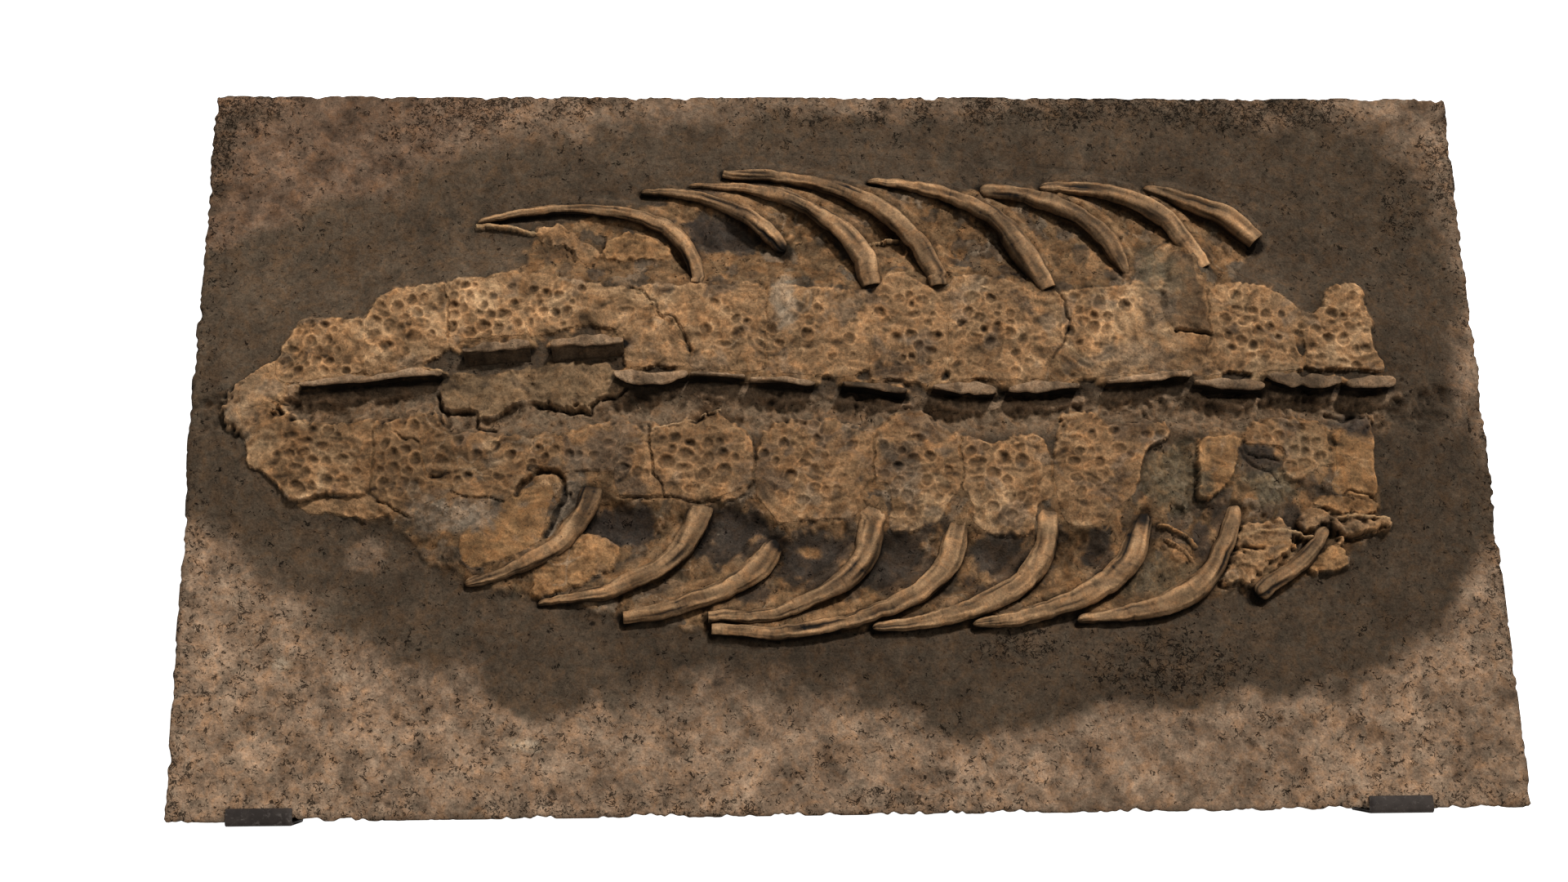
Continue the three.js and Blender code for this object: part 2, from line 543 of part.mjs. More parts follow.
// A rib: flat-sided below, rounded over the top
const ribProfile = [[0.5, -1], [0.45, 0.6], [0, 1], [-0.45, 0.6], [-0.5, -1]];

function ribSolid(stations, grow) {
  return loftSolid(middleLine(stations, ribSections, grow).map(({ place, across, width }) => (
    ribProfile.map(([side, level]) => {
      const reach = side * (width + 2 * grow);
      const height = level < 0 ? boneFoot : level * place.z + grow;
      return [place.x + across.x * reach, place.y + across.y * reach, slabThickness + height];
    })
  )));
}

// A neural spine: an upright blade, or one that leans, and the low pad of its arch
function spineSolid({ edge, width, arch, lean = 0 }, grow) {
  const stations = edge.map(([u, v]) => [u, v, width, spineRise]);
  const blade = loftSolid(middleLine(stations, spineSections, grow).map(({ place, across }) => {
    const half = width / 2 + grow;
    const at = (side, height) => [
      place.x + across.x * side, place.y + across.y * side, slabThickness + height,
    ];
    return [
      at(-half - lean, boneFoot), at(-half - lean, archRise), at(-half, spineRise - spineBevel + grow),
      at(-half * 0.5, spineRise + grow), at(half * 0.5, spineRise + grow),
      at(half, spineRise - spineBevel + grow), at(half, boneFoot),
    ].reverse();
  }));
  const [firstU, firstV] = edge[0];
  const [lastU, lastV] = edge[edge.length - 1];
  const overhang = archOverhang / pixelSize;
  const near = archSetback / pixelSize;
  const far = near + arch;
  const pad = plateSolid({
    outline: [
      [firstU - overhang, firstV + near], [lastU + overhang, lastV + near],
      [lastU + 1.5 * overhang, lastV + near + 0.6 * arch], [(firstU + lastU) / 2, lastV + far],
      [firstU - overhang, firstV + near + 0.7 * arch],
    ],
    rise: archRise,
    crown: 1,
  }, grow);
  return blade.add(pad);
}

// A clip: a U of bent strip round the lower edge, its lip on the face and its leg underneath
function clipSolid(place, grow) {
  const edge = fromView(place, 0);
  const south = -slabWidth / 2 + slabShift - boneGap;
  const profile = new THREE.Shape([
    new THREE.Vector2(south - clipMetal - grow, -grow),
    new THREE.Vector2(south + clipBackLeg + grow, -grow),
    new THREE.Vector2(south + clipBackLeg + grow, clipMetal + grow),
    new THREE.Vector2(south - grow, clipMetal + grow),
    new THREE.Vector2(south - grow, slabThickness + boneGap - grow),
    new THREE.Vector2(south + clipLip + grow, slabThickness + boneGap - grow),
    new THREE.Vector2(south + clipLip + grow, slabThickness + boneGap + clipMetal + grow),
    new THREE.Vector2(south - clipMetal - grow, slabThickness + boneGap + clipMetal + grow),
  ]);
  const outline = profile.getPoints();
  const faces = THREE.ShapeUtils.triangulateShape(outline, []);
  const half = clipWidth / 2 + grow;
  const count = outline.length;
  const points = [-half, half].flatMap((side) => outline.map((p) => [edge.x + side, p.x, p.y]));
  const triangles = faces.flatMap(([a, b, c]) => [[a, c, b], [count + a, count + b, count + c]]);
  outline.forEach((p, n) => {
    const next = (n + 1) % count;
    triangles.push([n, next, count + next], [n, count + next, count + n]);
  });
  return toSolid(points, triangles);
}

// The largest piece that is left after cuts
function largestPart(solid) {
  const parts = solid.decompose();
  return parts.reduce((best, part) => (part.volume() > best.volume() ? part : best));
}

function toMesh(name, solid, finish) {
  const { vertProperties, triVerts } = solid.getMesh();
  const geometry = new THREE.BufferGeometry();
  geometry.setAttribute('position', new THREE.BufferAttribute(vertProperties, 3));
  geometry.setIndex(new THREE.BufferAttribute(triVerts, 1));
  geometry.computeVertexNormals();
  const mesh = new THREE.Mesh(geometry, new THREE.MeshStandardMaterial({ ...finish, flatShading: true }));
  mesh.name = name;
  return mesh;
}

const fossil = new THREE.Group();
fossil.name = 'steneosaurus_fossil';

// The clips and the slab, rebated for the clips
let slab = slabSolid(0);
for (const [name, place] of Object.entries(clipPlaces)) {
  fossil.add(toMesh(name, clipSolid(place, 0), clipPaint));
  slab = slab.subtract(clipSolid(place, boneGap));
}
fossil.add(toMesh('slab', largestPart(slab), slabStone));

// Each bone is cut back from the bones that lie over it, then from the matrix below it
const matrixCutter = slabSolid(boneGap);
const cutters = [];

function addBone(name, build) {
  let solid = build(0);
  for (const cutter of cutters) solid = solid.subtract(cutter);
  solid = largestPart(solid.subtract(matrixCutter)).simplify(evenness);
  cutters.push(build(boneGap));
  fossil.add(toMesh(name, solid, boneTan));
}

upperRibs.forEach((rib, n) => addBone(`rib_upper_${n + 1}`, (grow) => ribSolid(rib, grow)));
spines.forEach((spine, n) => addBone(`neural_spine_${n + 1}`, (grow) => spineSolid(spine, grow)));
upperScutes.forEach((scute, n) => {
  addBone(`scute_upper_${n + 1}`, (grow) => plateSolid({ ...scute, rise: scuteRise }, grow));
});
lowerScutes.forEach((scute, n) => {
  addBone(`scute_lower_${n + 1}`, (grow) => plateSolid({ ...scute, rise: scuteRise - 1 }, grow));
});
lowerRibs.forEach((rib, n) => addBone(`rib_lower_${n + 1}`, (grow) => ribSolid(rib, grow)));
smoothBones.forEach((bone) => addBone(bone.name, (grow) => plateSolid(bone, grow)));

export default fossil;
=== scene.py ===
import math

import bpy
import numpy as np
from mathutils import Euler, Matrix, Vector
from mathutils.geometry import delaunay_2d_cdt


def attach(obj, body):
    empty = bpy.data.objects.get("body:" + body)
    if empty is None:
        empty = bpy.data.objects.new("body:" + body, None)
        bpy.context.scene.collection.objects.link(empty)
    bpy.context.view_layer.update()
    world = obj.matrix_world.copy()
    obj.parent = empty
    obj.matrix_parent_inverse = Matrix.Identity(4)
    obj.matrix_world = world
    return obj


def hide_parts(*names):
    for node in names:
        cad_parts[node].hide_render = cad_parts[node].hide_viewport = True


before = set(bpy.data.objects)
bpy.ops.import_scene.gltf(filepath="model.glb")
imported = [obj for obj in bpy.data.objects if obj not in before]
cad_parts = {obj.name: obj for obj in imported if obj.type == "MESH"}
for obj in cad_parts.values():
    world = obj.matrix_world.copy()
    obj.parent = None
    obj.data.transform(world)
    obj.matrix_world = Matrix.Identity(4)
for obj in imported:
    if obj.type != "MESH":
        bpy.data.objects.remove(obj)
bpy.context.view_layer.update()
print("frame loaded:", len(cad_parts), "nodes")

# The view that everything is placed in
view = {
    "centre": (960, 540),
    "frameWidth": 1920,
    "lens": 48.0,
    "sensor": 36.0,
    "place": (-93.1, -392.0, 1258.4),
    "turn": (17.72, -2.24, -0.96),
}
viewEuler = Euler([math.radians(angle) for angle in view["turn"]])
viewAxes = np.array(viewEuler.to_matrix())
viewPlace = np.array(view["place"])
focalPixels = view["frameWidth"] * view["lens"] / view["sensor"]

faceLevel = 35.0          # the slab's face above its underside
pixelSize = 0.52          # one view pixel on the face
metre = 0.001             # one millimetre in Blender's metres
slabShape = {"left": -400.0, "right": 400.0, "low": -230.5, "high": 233.0, "spacing": 1.9, "rimStep": 1.1,
             "hiddenSpacing": 9.0, "sunk": -14.0, "rows": 9, "bevel": 1.2, "foot": 0.25, "drawIn": 6.5}


def fromView(points, height=0.0):
    # view pixels to x and y on the level that lies height above the face
    points = np.asarray(points, float)[..., :2]
    height = np.asarray(height, float)
    rays = np.stack([
        (points[..., 0] - view["centre"][0]) / focalPixels,
        (view["centre"][1] - points[..., 1]) / focalPixels,
        -np.ones(points.shape[:-1]),
    ], -1) @ viewAxes.T
    reach = (faceLevel + height - viewPlace[2]) / rays[..., 2]
    return viewPlace[:2] + rays[..., :2] * reach[..., None]


def rimDistance(x, y):
    return np.minimum(np.minimum(x - slabShape["left"], slabShape["right"] - x),
                      np.minimum(y - slabShape["low"], slabShape["high"] - y))


# Small maths helpers
def smooth(value, low, high):
    t = np.clip((value - low) / (high - low), 0, 1)
    return t * t * (3 - 2 * t)


def mix(a, b, share):
    return a + (b - a) * share


def splineTaps(count, knot):
    # cubic B-spline taps for count samples, knot samples apart: the first tap's place, and four weights
    place = np.arange(count) / knot
    first = np.floor(place).astype(int)
    t = place - first
    weights = [(1 - t) ** 3, 3 * t ** 3 - 6 * t ** 2 + 4, -3 * t ** 3 + 3 * t ** 2 + 3 * t + 1, t ** 3]
    return first, [weight / 6 for weight in weights]


def noiseGrid(rows, columns, rowKnot, columnKnot, seed):
    # smooth noise of unit spread with features of about one knot
    (down, downWeights), (along, alongWeights) = splineTaps(rows, rowKnot), splineTaps(columns, columnKnot)
    draw = np.random.default_rng(seed).standard_normal((down.max() + 4, along.max() + 4))
    field = sum(weight[:, None] * draw[down + n] for n, weight in enumerate(downWeights))
    field = sum(weight * field[:, along + n] for n, weight in enumerate(alongWeights))
    return field / field.std()


# The working sheet: a grid over the whole slab on which heights and noise are kept
sheet = {"cell": 0.5, "left": -404.0, "low": -237.0, "columns": 1617, "rows": 951}
sheetX = sheet["left"] + sheet["cell"] * np.arange(sheet["columns"])
sheetY = sheet["low"] + sheet["cell"] * np.arange(sheet["rows"])
gridX, gridY = np.meshgrid(sheetX, sheetY)


def sheetNoise(size, seed, octaves=1, gain=0.55, stretch=1.0):
    # noise over the sheet: size of the largest feature in millimetres, stretch makes it longer along x
    total = np.zeros(gridX.shape)
    for octave in range(octaves):
        knot = size / sheet["cell"] / 2 ** octave
        wave = noiseGrid(sheet["rows"], sheet["columns"], knot, knot * stretch, seed + octave)
        total += gain ** octave * wave
    return total / total.std()


def sample(field, x, y):
    # the field's value at any place, by bilinear mixing
    column = np.clip((x - sheet["left"]) / sheet["cell"], 0, sheet["columns"] - 1.001)
    row = np.clip((y - sheet["low"]) / sheet["cell"], 0, sheet["rows"] - 1.001)
    i, j = column.astype(int), row.astype(int)
    s, t = column - i, row - j
    lower = mix(field[j, i], field[j, i + 1], s)
    upper = mix(field[j + 1, i], field[j + 1, i + 1], s)
    return mix(lower, upper, t)


def blur(field, radius):
    # Gaussian blur, first down and then along
    reach = int(3 * radius / sheet["cell"]) + 1
    steps = np.arange(-reach, reach + 1)
    weights = np.exp(-0.5 * (steps * sheet["cell"] / radius) ** 2)
    weights /= weights.sum()
    for turn in range(2):
        padded = np.pad(field, ((reach, reach), (0, 0)), mode="edge")
        field = sum(weight * padded[n:n + len(field)] for n, weight in enumerate(weights)).T
    return field


def windowOf(points, margin):
    # the part of the sheet that holds the points, to index a field with
    low, high = points.min(0) - margin, points.max(0) + margin
    columns = slice(*np.searchsorted(sheetX, (low[0], high[0])))
    rows = slice(*np.searchsorted(sheetY, (low[1], high[1])))
    return rows, columns


def blobReach(u, v, along, across, level=0.0):
    # distance from a place in the view, with the two radii in pixels as the unit
    x, y = fromView((u, v), level)
    return np.hypot((gridX - x) / along, (gridY - y) / across) / pixelSize


def smoothLine(points, step, closed=False):
    # a Catmull-Rom line through the points, with a point about every step
    points = np.asarray(points, float)
    if closed:
        ring = np.concatenate([points[-1:], points, points[:2]])
    else:
        ring = np.concatenate([2 * points[:1] - points[1:2], points, 2 * points[-1:] - points[-2:-1]])
    t = np.linspace(0, 1, 16, endpoint=False)[:, None]
    pieces = []
    for a, b, c, d in zip(ring, ring[1:], ring[2:], ring[3:]):
        pieces.append(0.5 * (2 * b + (c - a) * t + (2 * a - 5 * b + 4 * c - d) * t ** 2
                             + (3 * b - a - 3 * c + d) * t ** 3))
    line = np.concatenate(pieces + [points[:1] if closed else points[-1:]])
    travel = np.concatenate([[0], np.cumsum(np.linalg.norm(np.diff(line[:, :2], axis=0), axis=1))])
    count = max(int(round(travel[-1] / step)), 4)
    marks = np.linspace(0, travel[-1], count + 1)
    if closed:
        marks = marks[:-1]
    return np.stack([np.interp(marks, travel, column) for column in line.T], 1)


def acrossLine(line):
    # unit vectors along a line and across it
    tangent = np.gradient(line[:, :2], axis=0)
    tangent /= np.linalg.norm(tangent, axis=1, keepdims=True)
    return tangent, np.stack([-tangent[:, 1], tangent[:, 0]], 1)


def outwardOf(loop):
    # unit vectors out of a loop that runs anticlockwise
    ahead = np.roll(loop, -1, 0) - np.roll(loop, 1, 0)
    return np.stack([ahead[:, 1], -ahead[:, 0]], 1) / np.linalg.norm(ahead, axis=1, keepdims=True)


def anticlockwise(loop):
    area = np.sum(loop[:, 0] * np.roll(loop[:, 1], -1) - loop[:, 1] * np.roll(loop[:, 0], -1))
    return loop[::-1] if area < 0 else loop


def lineDistance(line, x, y, closed=False):
    # distance to a line, the share of the way along it, and whether a point is inside a closed one
    ends = np.roll(line, -1, 0) if closed else line[1:]
    starts = line if closed else line[:-1]
    nearest = np.full(np.shape(x), np.inf)
    place = np.zeros(np.shape(x))
    inside = np.zeros(np.shape(x), bool)
    for n, (a, b) in enumerate(zip(starts, ends)):
        dx, dy = b[0] - a[0], b[1] - a[1]
        t = np.clip(((x - a[0]) * dx + (y - a[1]) * dy) / (dx * dx + dy * dy + 1e-12), 0, 1)
        away = (x - a[0] - t * dx) ** 2 + (y - a[1] - t * dy) ** 2
        closer = away < nearest
        nearest = np.where(closer, away, nearest)
        place = np.where(closer, n + t, place)
        if closed:
            inside ^= ((a[1] > y) != (b[1] > y)) & (x < a[0] + (y - a[1]) * dx / (dy if dy else 1e-12))
    return np.sqrt(nearest), place / len(starts), inside


def insideDepth(loop, x, y):
    # distance to a closed loop, positive inside it
    away, _, inside = lineDistance(loop, x, y, closed=True)
    return np.where(inside, away, -away)


# Noise that all pieces share, so that neighbours match
warpX, warpY = 0.55 * sheetNoise(4.5, 11, 2), 0.55 * sheetNoise(4.5, 21, 2)
curlX, curlY = 3.2 * sheetNoise(17.0, 151, 2), 3.2 * sheetNoise(17.0, 161, 2)
crag = sheetNoise(9.0, 31, 4, 0.62)          # knots and dents of worn bone
grain = sheetNoise(1.6, 41, 2, 0.6)          # fine tooth of the surface
swell = sheetNoise(34.0, 51, 2)              # slow waves of the stone
drift = sheetNoise(60.0, 61, 4, 0.6)         # broad patches of colour
flake = sheetNoise(11.0, 101, 3, 0.65)       # patches the size of a finger nail


def ridgedNoise(size, seed):
    # sharp crests: noise folded at its middle
    field = 1 - np.abs(sheetNoise(size, seed, 2))
    return (field - field.mean()) / field.std()


def curled(field):
    return sample(field, gridX + curlX, gridY + curlY)


def warpAt(points):
    return np.stack([sample(warpX, *points.T), sample(warpY, *points.T)], 1)


ridged = curled(ridgedNoise(3.4, 81))
fineRidged = ridgedNoise(1.7, 83)
patch = curled(sheetNoise(19.0, 111, 4, 0.66))       # dark and light stains of the bone
streak = curled(sheetNoise(2.0, 121, 2, 0.6, 3.2))   # swirling fibre of the bone
veins = 1 - smooth(np.abs(curled(sheetNoise(15.0, 131, 2, 0.5))), 0.0, 0.07)
veins = veins * smooth(sheetNoise(26.0, 141, 2), 0.1, 1.0)
print("noise made")

# Upper plates: outline, then pits as (u, v, radius) or (u, v, radius along, radius across)
upperScutes = [
    {
        "outline": [(366, 391), (400, 389), (443, 393), (447, 420), (446, 452), (420, 461), (384, 466),
            (352, 469), (339, 462), (338, 448), (344, 424), (358, 411)],
        "pits": [(380, 396, 6), (398, 397, 5), (410, 404, 5), (365, 407, 5), (381, 418, 7), (401, 417, 6),
            (389, 429, 5), (358, 429, 8, 4), (371, 437, 5, 8), (412, 430, 5), (389, 444, 6), (376, 448, 4),
            (403, 443, 5), (352, 447, 8), (366, 455, 6), (398, 456, 5), (424, 455, 5)],
    },
    {
        "outline": [(449, 392), (456, 369), (470, 355), (505, 350), (530, 344), (546, 347), (548, 400),
            (545, 432), (520, 444), (490, 451), (450, 456)],
        "pits": [(476, 357, 5), (492, 353, 5), (504, 353, 4), (516, 354, 6), (520, 365, 5), (505, 368, 6),
            (465, 376, 6), (487, 378, 8), (496, 390, 5), (511, 384, 7), (457, 395, 8), (476, 401, 7, 9),
            (490, 405, 6, 8), (457, 413, 8), (517, 398, 8), (507, 412, 8), (528, 411, 6), (473, 424, 9, 6),
            (497, 430, 6, 5)],
    },
    {
        "outline": [(549, 348), (583, 339), (620, 333), (645, 335), (645, 375), (643, 409), (620, 412),
            (585, 415), (566, 419), (552, 428), (549, 400)],
        "pits": [(556, 363, 6), (576, 366, 5, 8), (556, 375, 6), (567, 379, 6, 7), (556, 388, 7),
            (553, 402, 6, 9), (575, 393, 8, 7), (576, 408, 7), (590, 361, 5), (603, 363, 6), (593, 375, 6),
            (588, 385, 6), (601, 388, 7), (617, 388, 8), (592, 400, 7), (610, 403, 7), (597, 411, 6),
            (570, 350, 6), (582, 350, 4), (630, 372, 6), (628, 352, 5), (634, 398, 6)],
    },
    {
        "outline": [(647, 336), (690, 340), (740, 348), (768, 352), (783, 361), (803, 386), (828, 401),
            (841, 424), (841, 448), (800, 449), (766, 449), (762, 410), (740, 402), (700, 403), (677, 408),
            (660, 411), (647, 407)],
        "pits": [(653, 355, 6), (669, 360, 6), (684, 362, 6), (648, 382, 5), (649, 397, 4, 7),
            (664, 383, 6), (680, 385, 6), (693, 383, 7), (676, 393, 5), (690, 398, 5), (712, 354, 5),
            (700, 372, 4), (767, 382, 10, 5)],
    },
    {
        "outline": [(772, 350), (840, 346), (890, 348), (935, 350), (937, 420), (930, 453), (880, 453),
            (847, 451), (846, 423), (832, 398), (807, 382), (787, 357)],
        "pits": [(875, 372, 6), (890, 380, 5), (902, 390, 5), (915, 395, 5), (877, 397, 5, 8),
            (904, 408, 8), (887, 421, 8, 5), (865, 403, 7)],
    },
    {
        "outline": [(940, 352), (965, 345), (1000, 350), (1045, 352), (1068, 356), (1066, 400), (1062, 448),
            (1038, 462), (1000, 460), (960, 458), (942, 455), (940, 410)],
        "pits": [(967, 346, 7, 5), (980, 378, 7), (988, 393, 8, 6), (988, 409, 7), (1000, 378, 6),
            (946, 405, 6, 9), (1040, 415, 7), (1045, 395, 5), (1018, 438, 5), (1045, 438, 5),
            (955, 421, 5)],
    },
    {
        "outline": [(1072, 352), (1085, 336), (1092, 327), (1112, 337), (1134, 345), (1145, 357),
            (1160, 358), (1160, 400), (1158, 448), (1150, 464), (1120, 468), (1090, 463), (1066, 461),
            (1068, 400)],
        "pits": [(1082, 366, 6, 4), (1100, 366, 6), (1113, 361, 5), (1115, 373, 4), (1130, 368, 7),
            (1076, 383, 7), (1086, 395, 7, 5), (1118, 386, 9, 5), (1137, 396, 5), (1115, 412, 7),
            (1096, 415, 7), (1146, 412, 9, 6), (1143, 385, 4), (1140, 430, 6), (1126, 424, 6),
            (1104, 438, 5), (1116, 436, 5), (1138, 446, 5, 3)],
    },
    {
        "outline": [(1162, 360), (1166, 340), (1200, 335), (1230, 340), (1262, 357), (1278, 372),
            (1281, 400), (1277, 420), (1284, 448), (1283, 463), (1240, 467), (1215, 466), (1180, 464),
            (1162, 463)],
        "pits": [(1190, 367, 9), (1205, 358, 5, 3), (1213, 367, 6), (1187, 383, 8, 6), (1180, 397, 7, 5),
            (1200, 390, 6), (1221, 386, 4), (1221, 402, 6), (1237, 385, 5), (1237, 396, 5), (1236, 408, 6),
            (1192, 414, 9, 6), (1213, 418, 6), (1252, 415, 7), (1243, 433, 6, 5), (1205, 404, 5),
            (1260, 443, 6, 4), (1243, 455, 6, 5)],
    },
    {
        "outline": [(1291, 372), (1297, 359), (1330, 350), (1372, 348), (1394, 354), (1398, 395),
            (1392, 430), (1380, 455), (1350, 462), (1318, 463), (1289, 463), (1287, 430), (1299, 400)],
        "pits": [(1318, 379, 6), (1326, 393, 7, 6), (1309, 405, 7), (1315, 362, 7, 5), (1345, 370, 8),
            (1339, 387, 6), (1356, 389, 6), (1338, 403, 8), (1356, 405, 6), (1322, 419, 5),
            (1345, 424, 10, 4), (1363, 417, 4), (1378, 375, 8)],
    },
    {
        "outline": [(1480, 356), (1505, 345), (1545, 348), (1575, 365), (1597, 385), (1589, 400),
            (1585, 415), (1596, 440), (1597, 452), (1550, 455), (1500, 457), (1480, 457), (1479, 400)],
        "pits": [(1514, 362, 6), (1513, 379, 7, 5), (1533, 380, 6), (1550, 387, 7), (1500, 391, 7),
            (1524, 394, 8, 6), (1541, 407, 7), (1555, 402, 6), (1505, 411, 5), (1565, 415, 5),
            (1520, 419, 6), (1507, 426, 6, 4), (1533, 424, 6, 7), (1530, 438, 6), (1546, 439, 8),
            (1568, 385, 5), (1583, 432, 6)],
    },
    {
        "outline": [(1603, 385), (1620, 371), (1624, 352), (1645, 345), (1668, 351), (1677, 390),
            (1682, 405), (1679, 415), (1695, 440), (1698, 454), (1650, 452), (1603, 451), (1601, 430),
            (1592, 412), (1596, 398)],
        "pits": [(1635, 353, 6), (1655, 364, 6), (1670, 366, 5), (1668, 378, 5), (1630, 383, 7),
            (1608, 391, 6), (1645, 389, 6), (1659, 390, 6), (1629, 398, 7, 5), (1610, 404, 7, 5),
            (1651, 403, 7), (1626, 416, 8, 7), (1643, 417, 7), (1673, 406, 6, 4), (1664, 401, 4),
            (1660, 430, 6), (1672, 428, 6), (1642, 445, 8, 5), (1660, 448, 7, 5), (1617, 438, 7, 5)],
    },
]

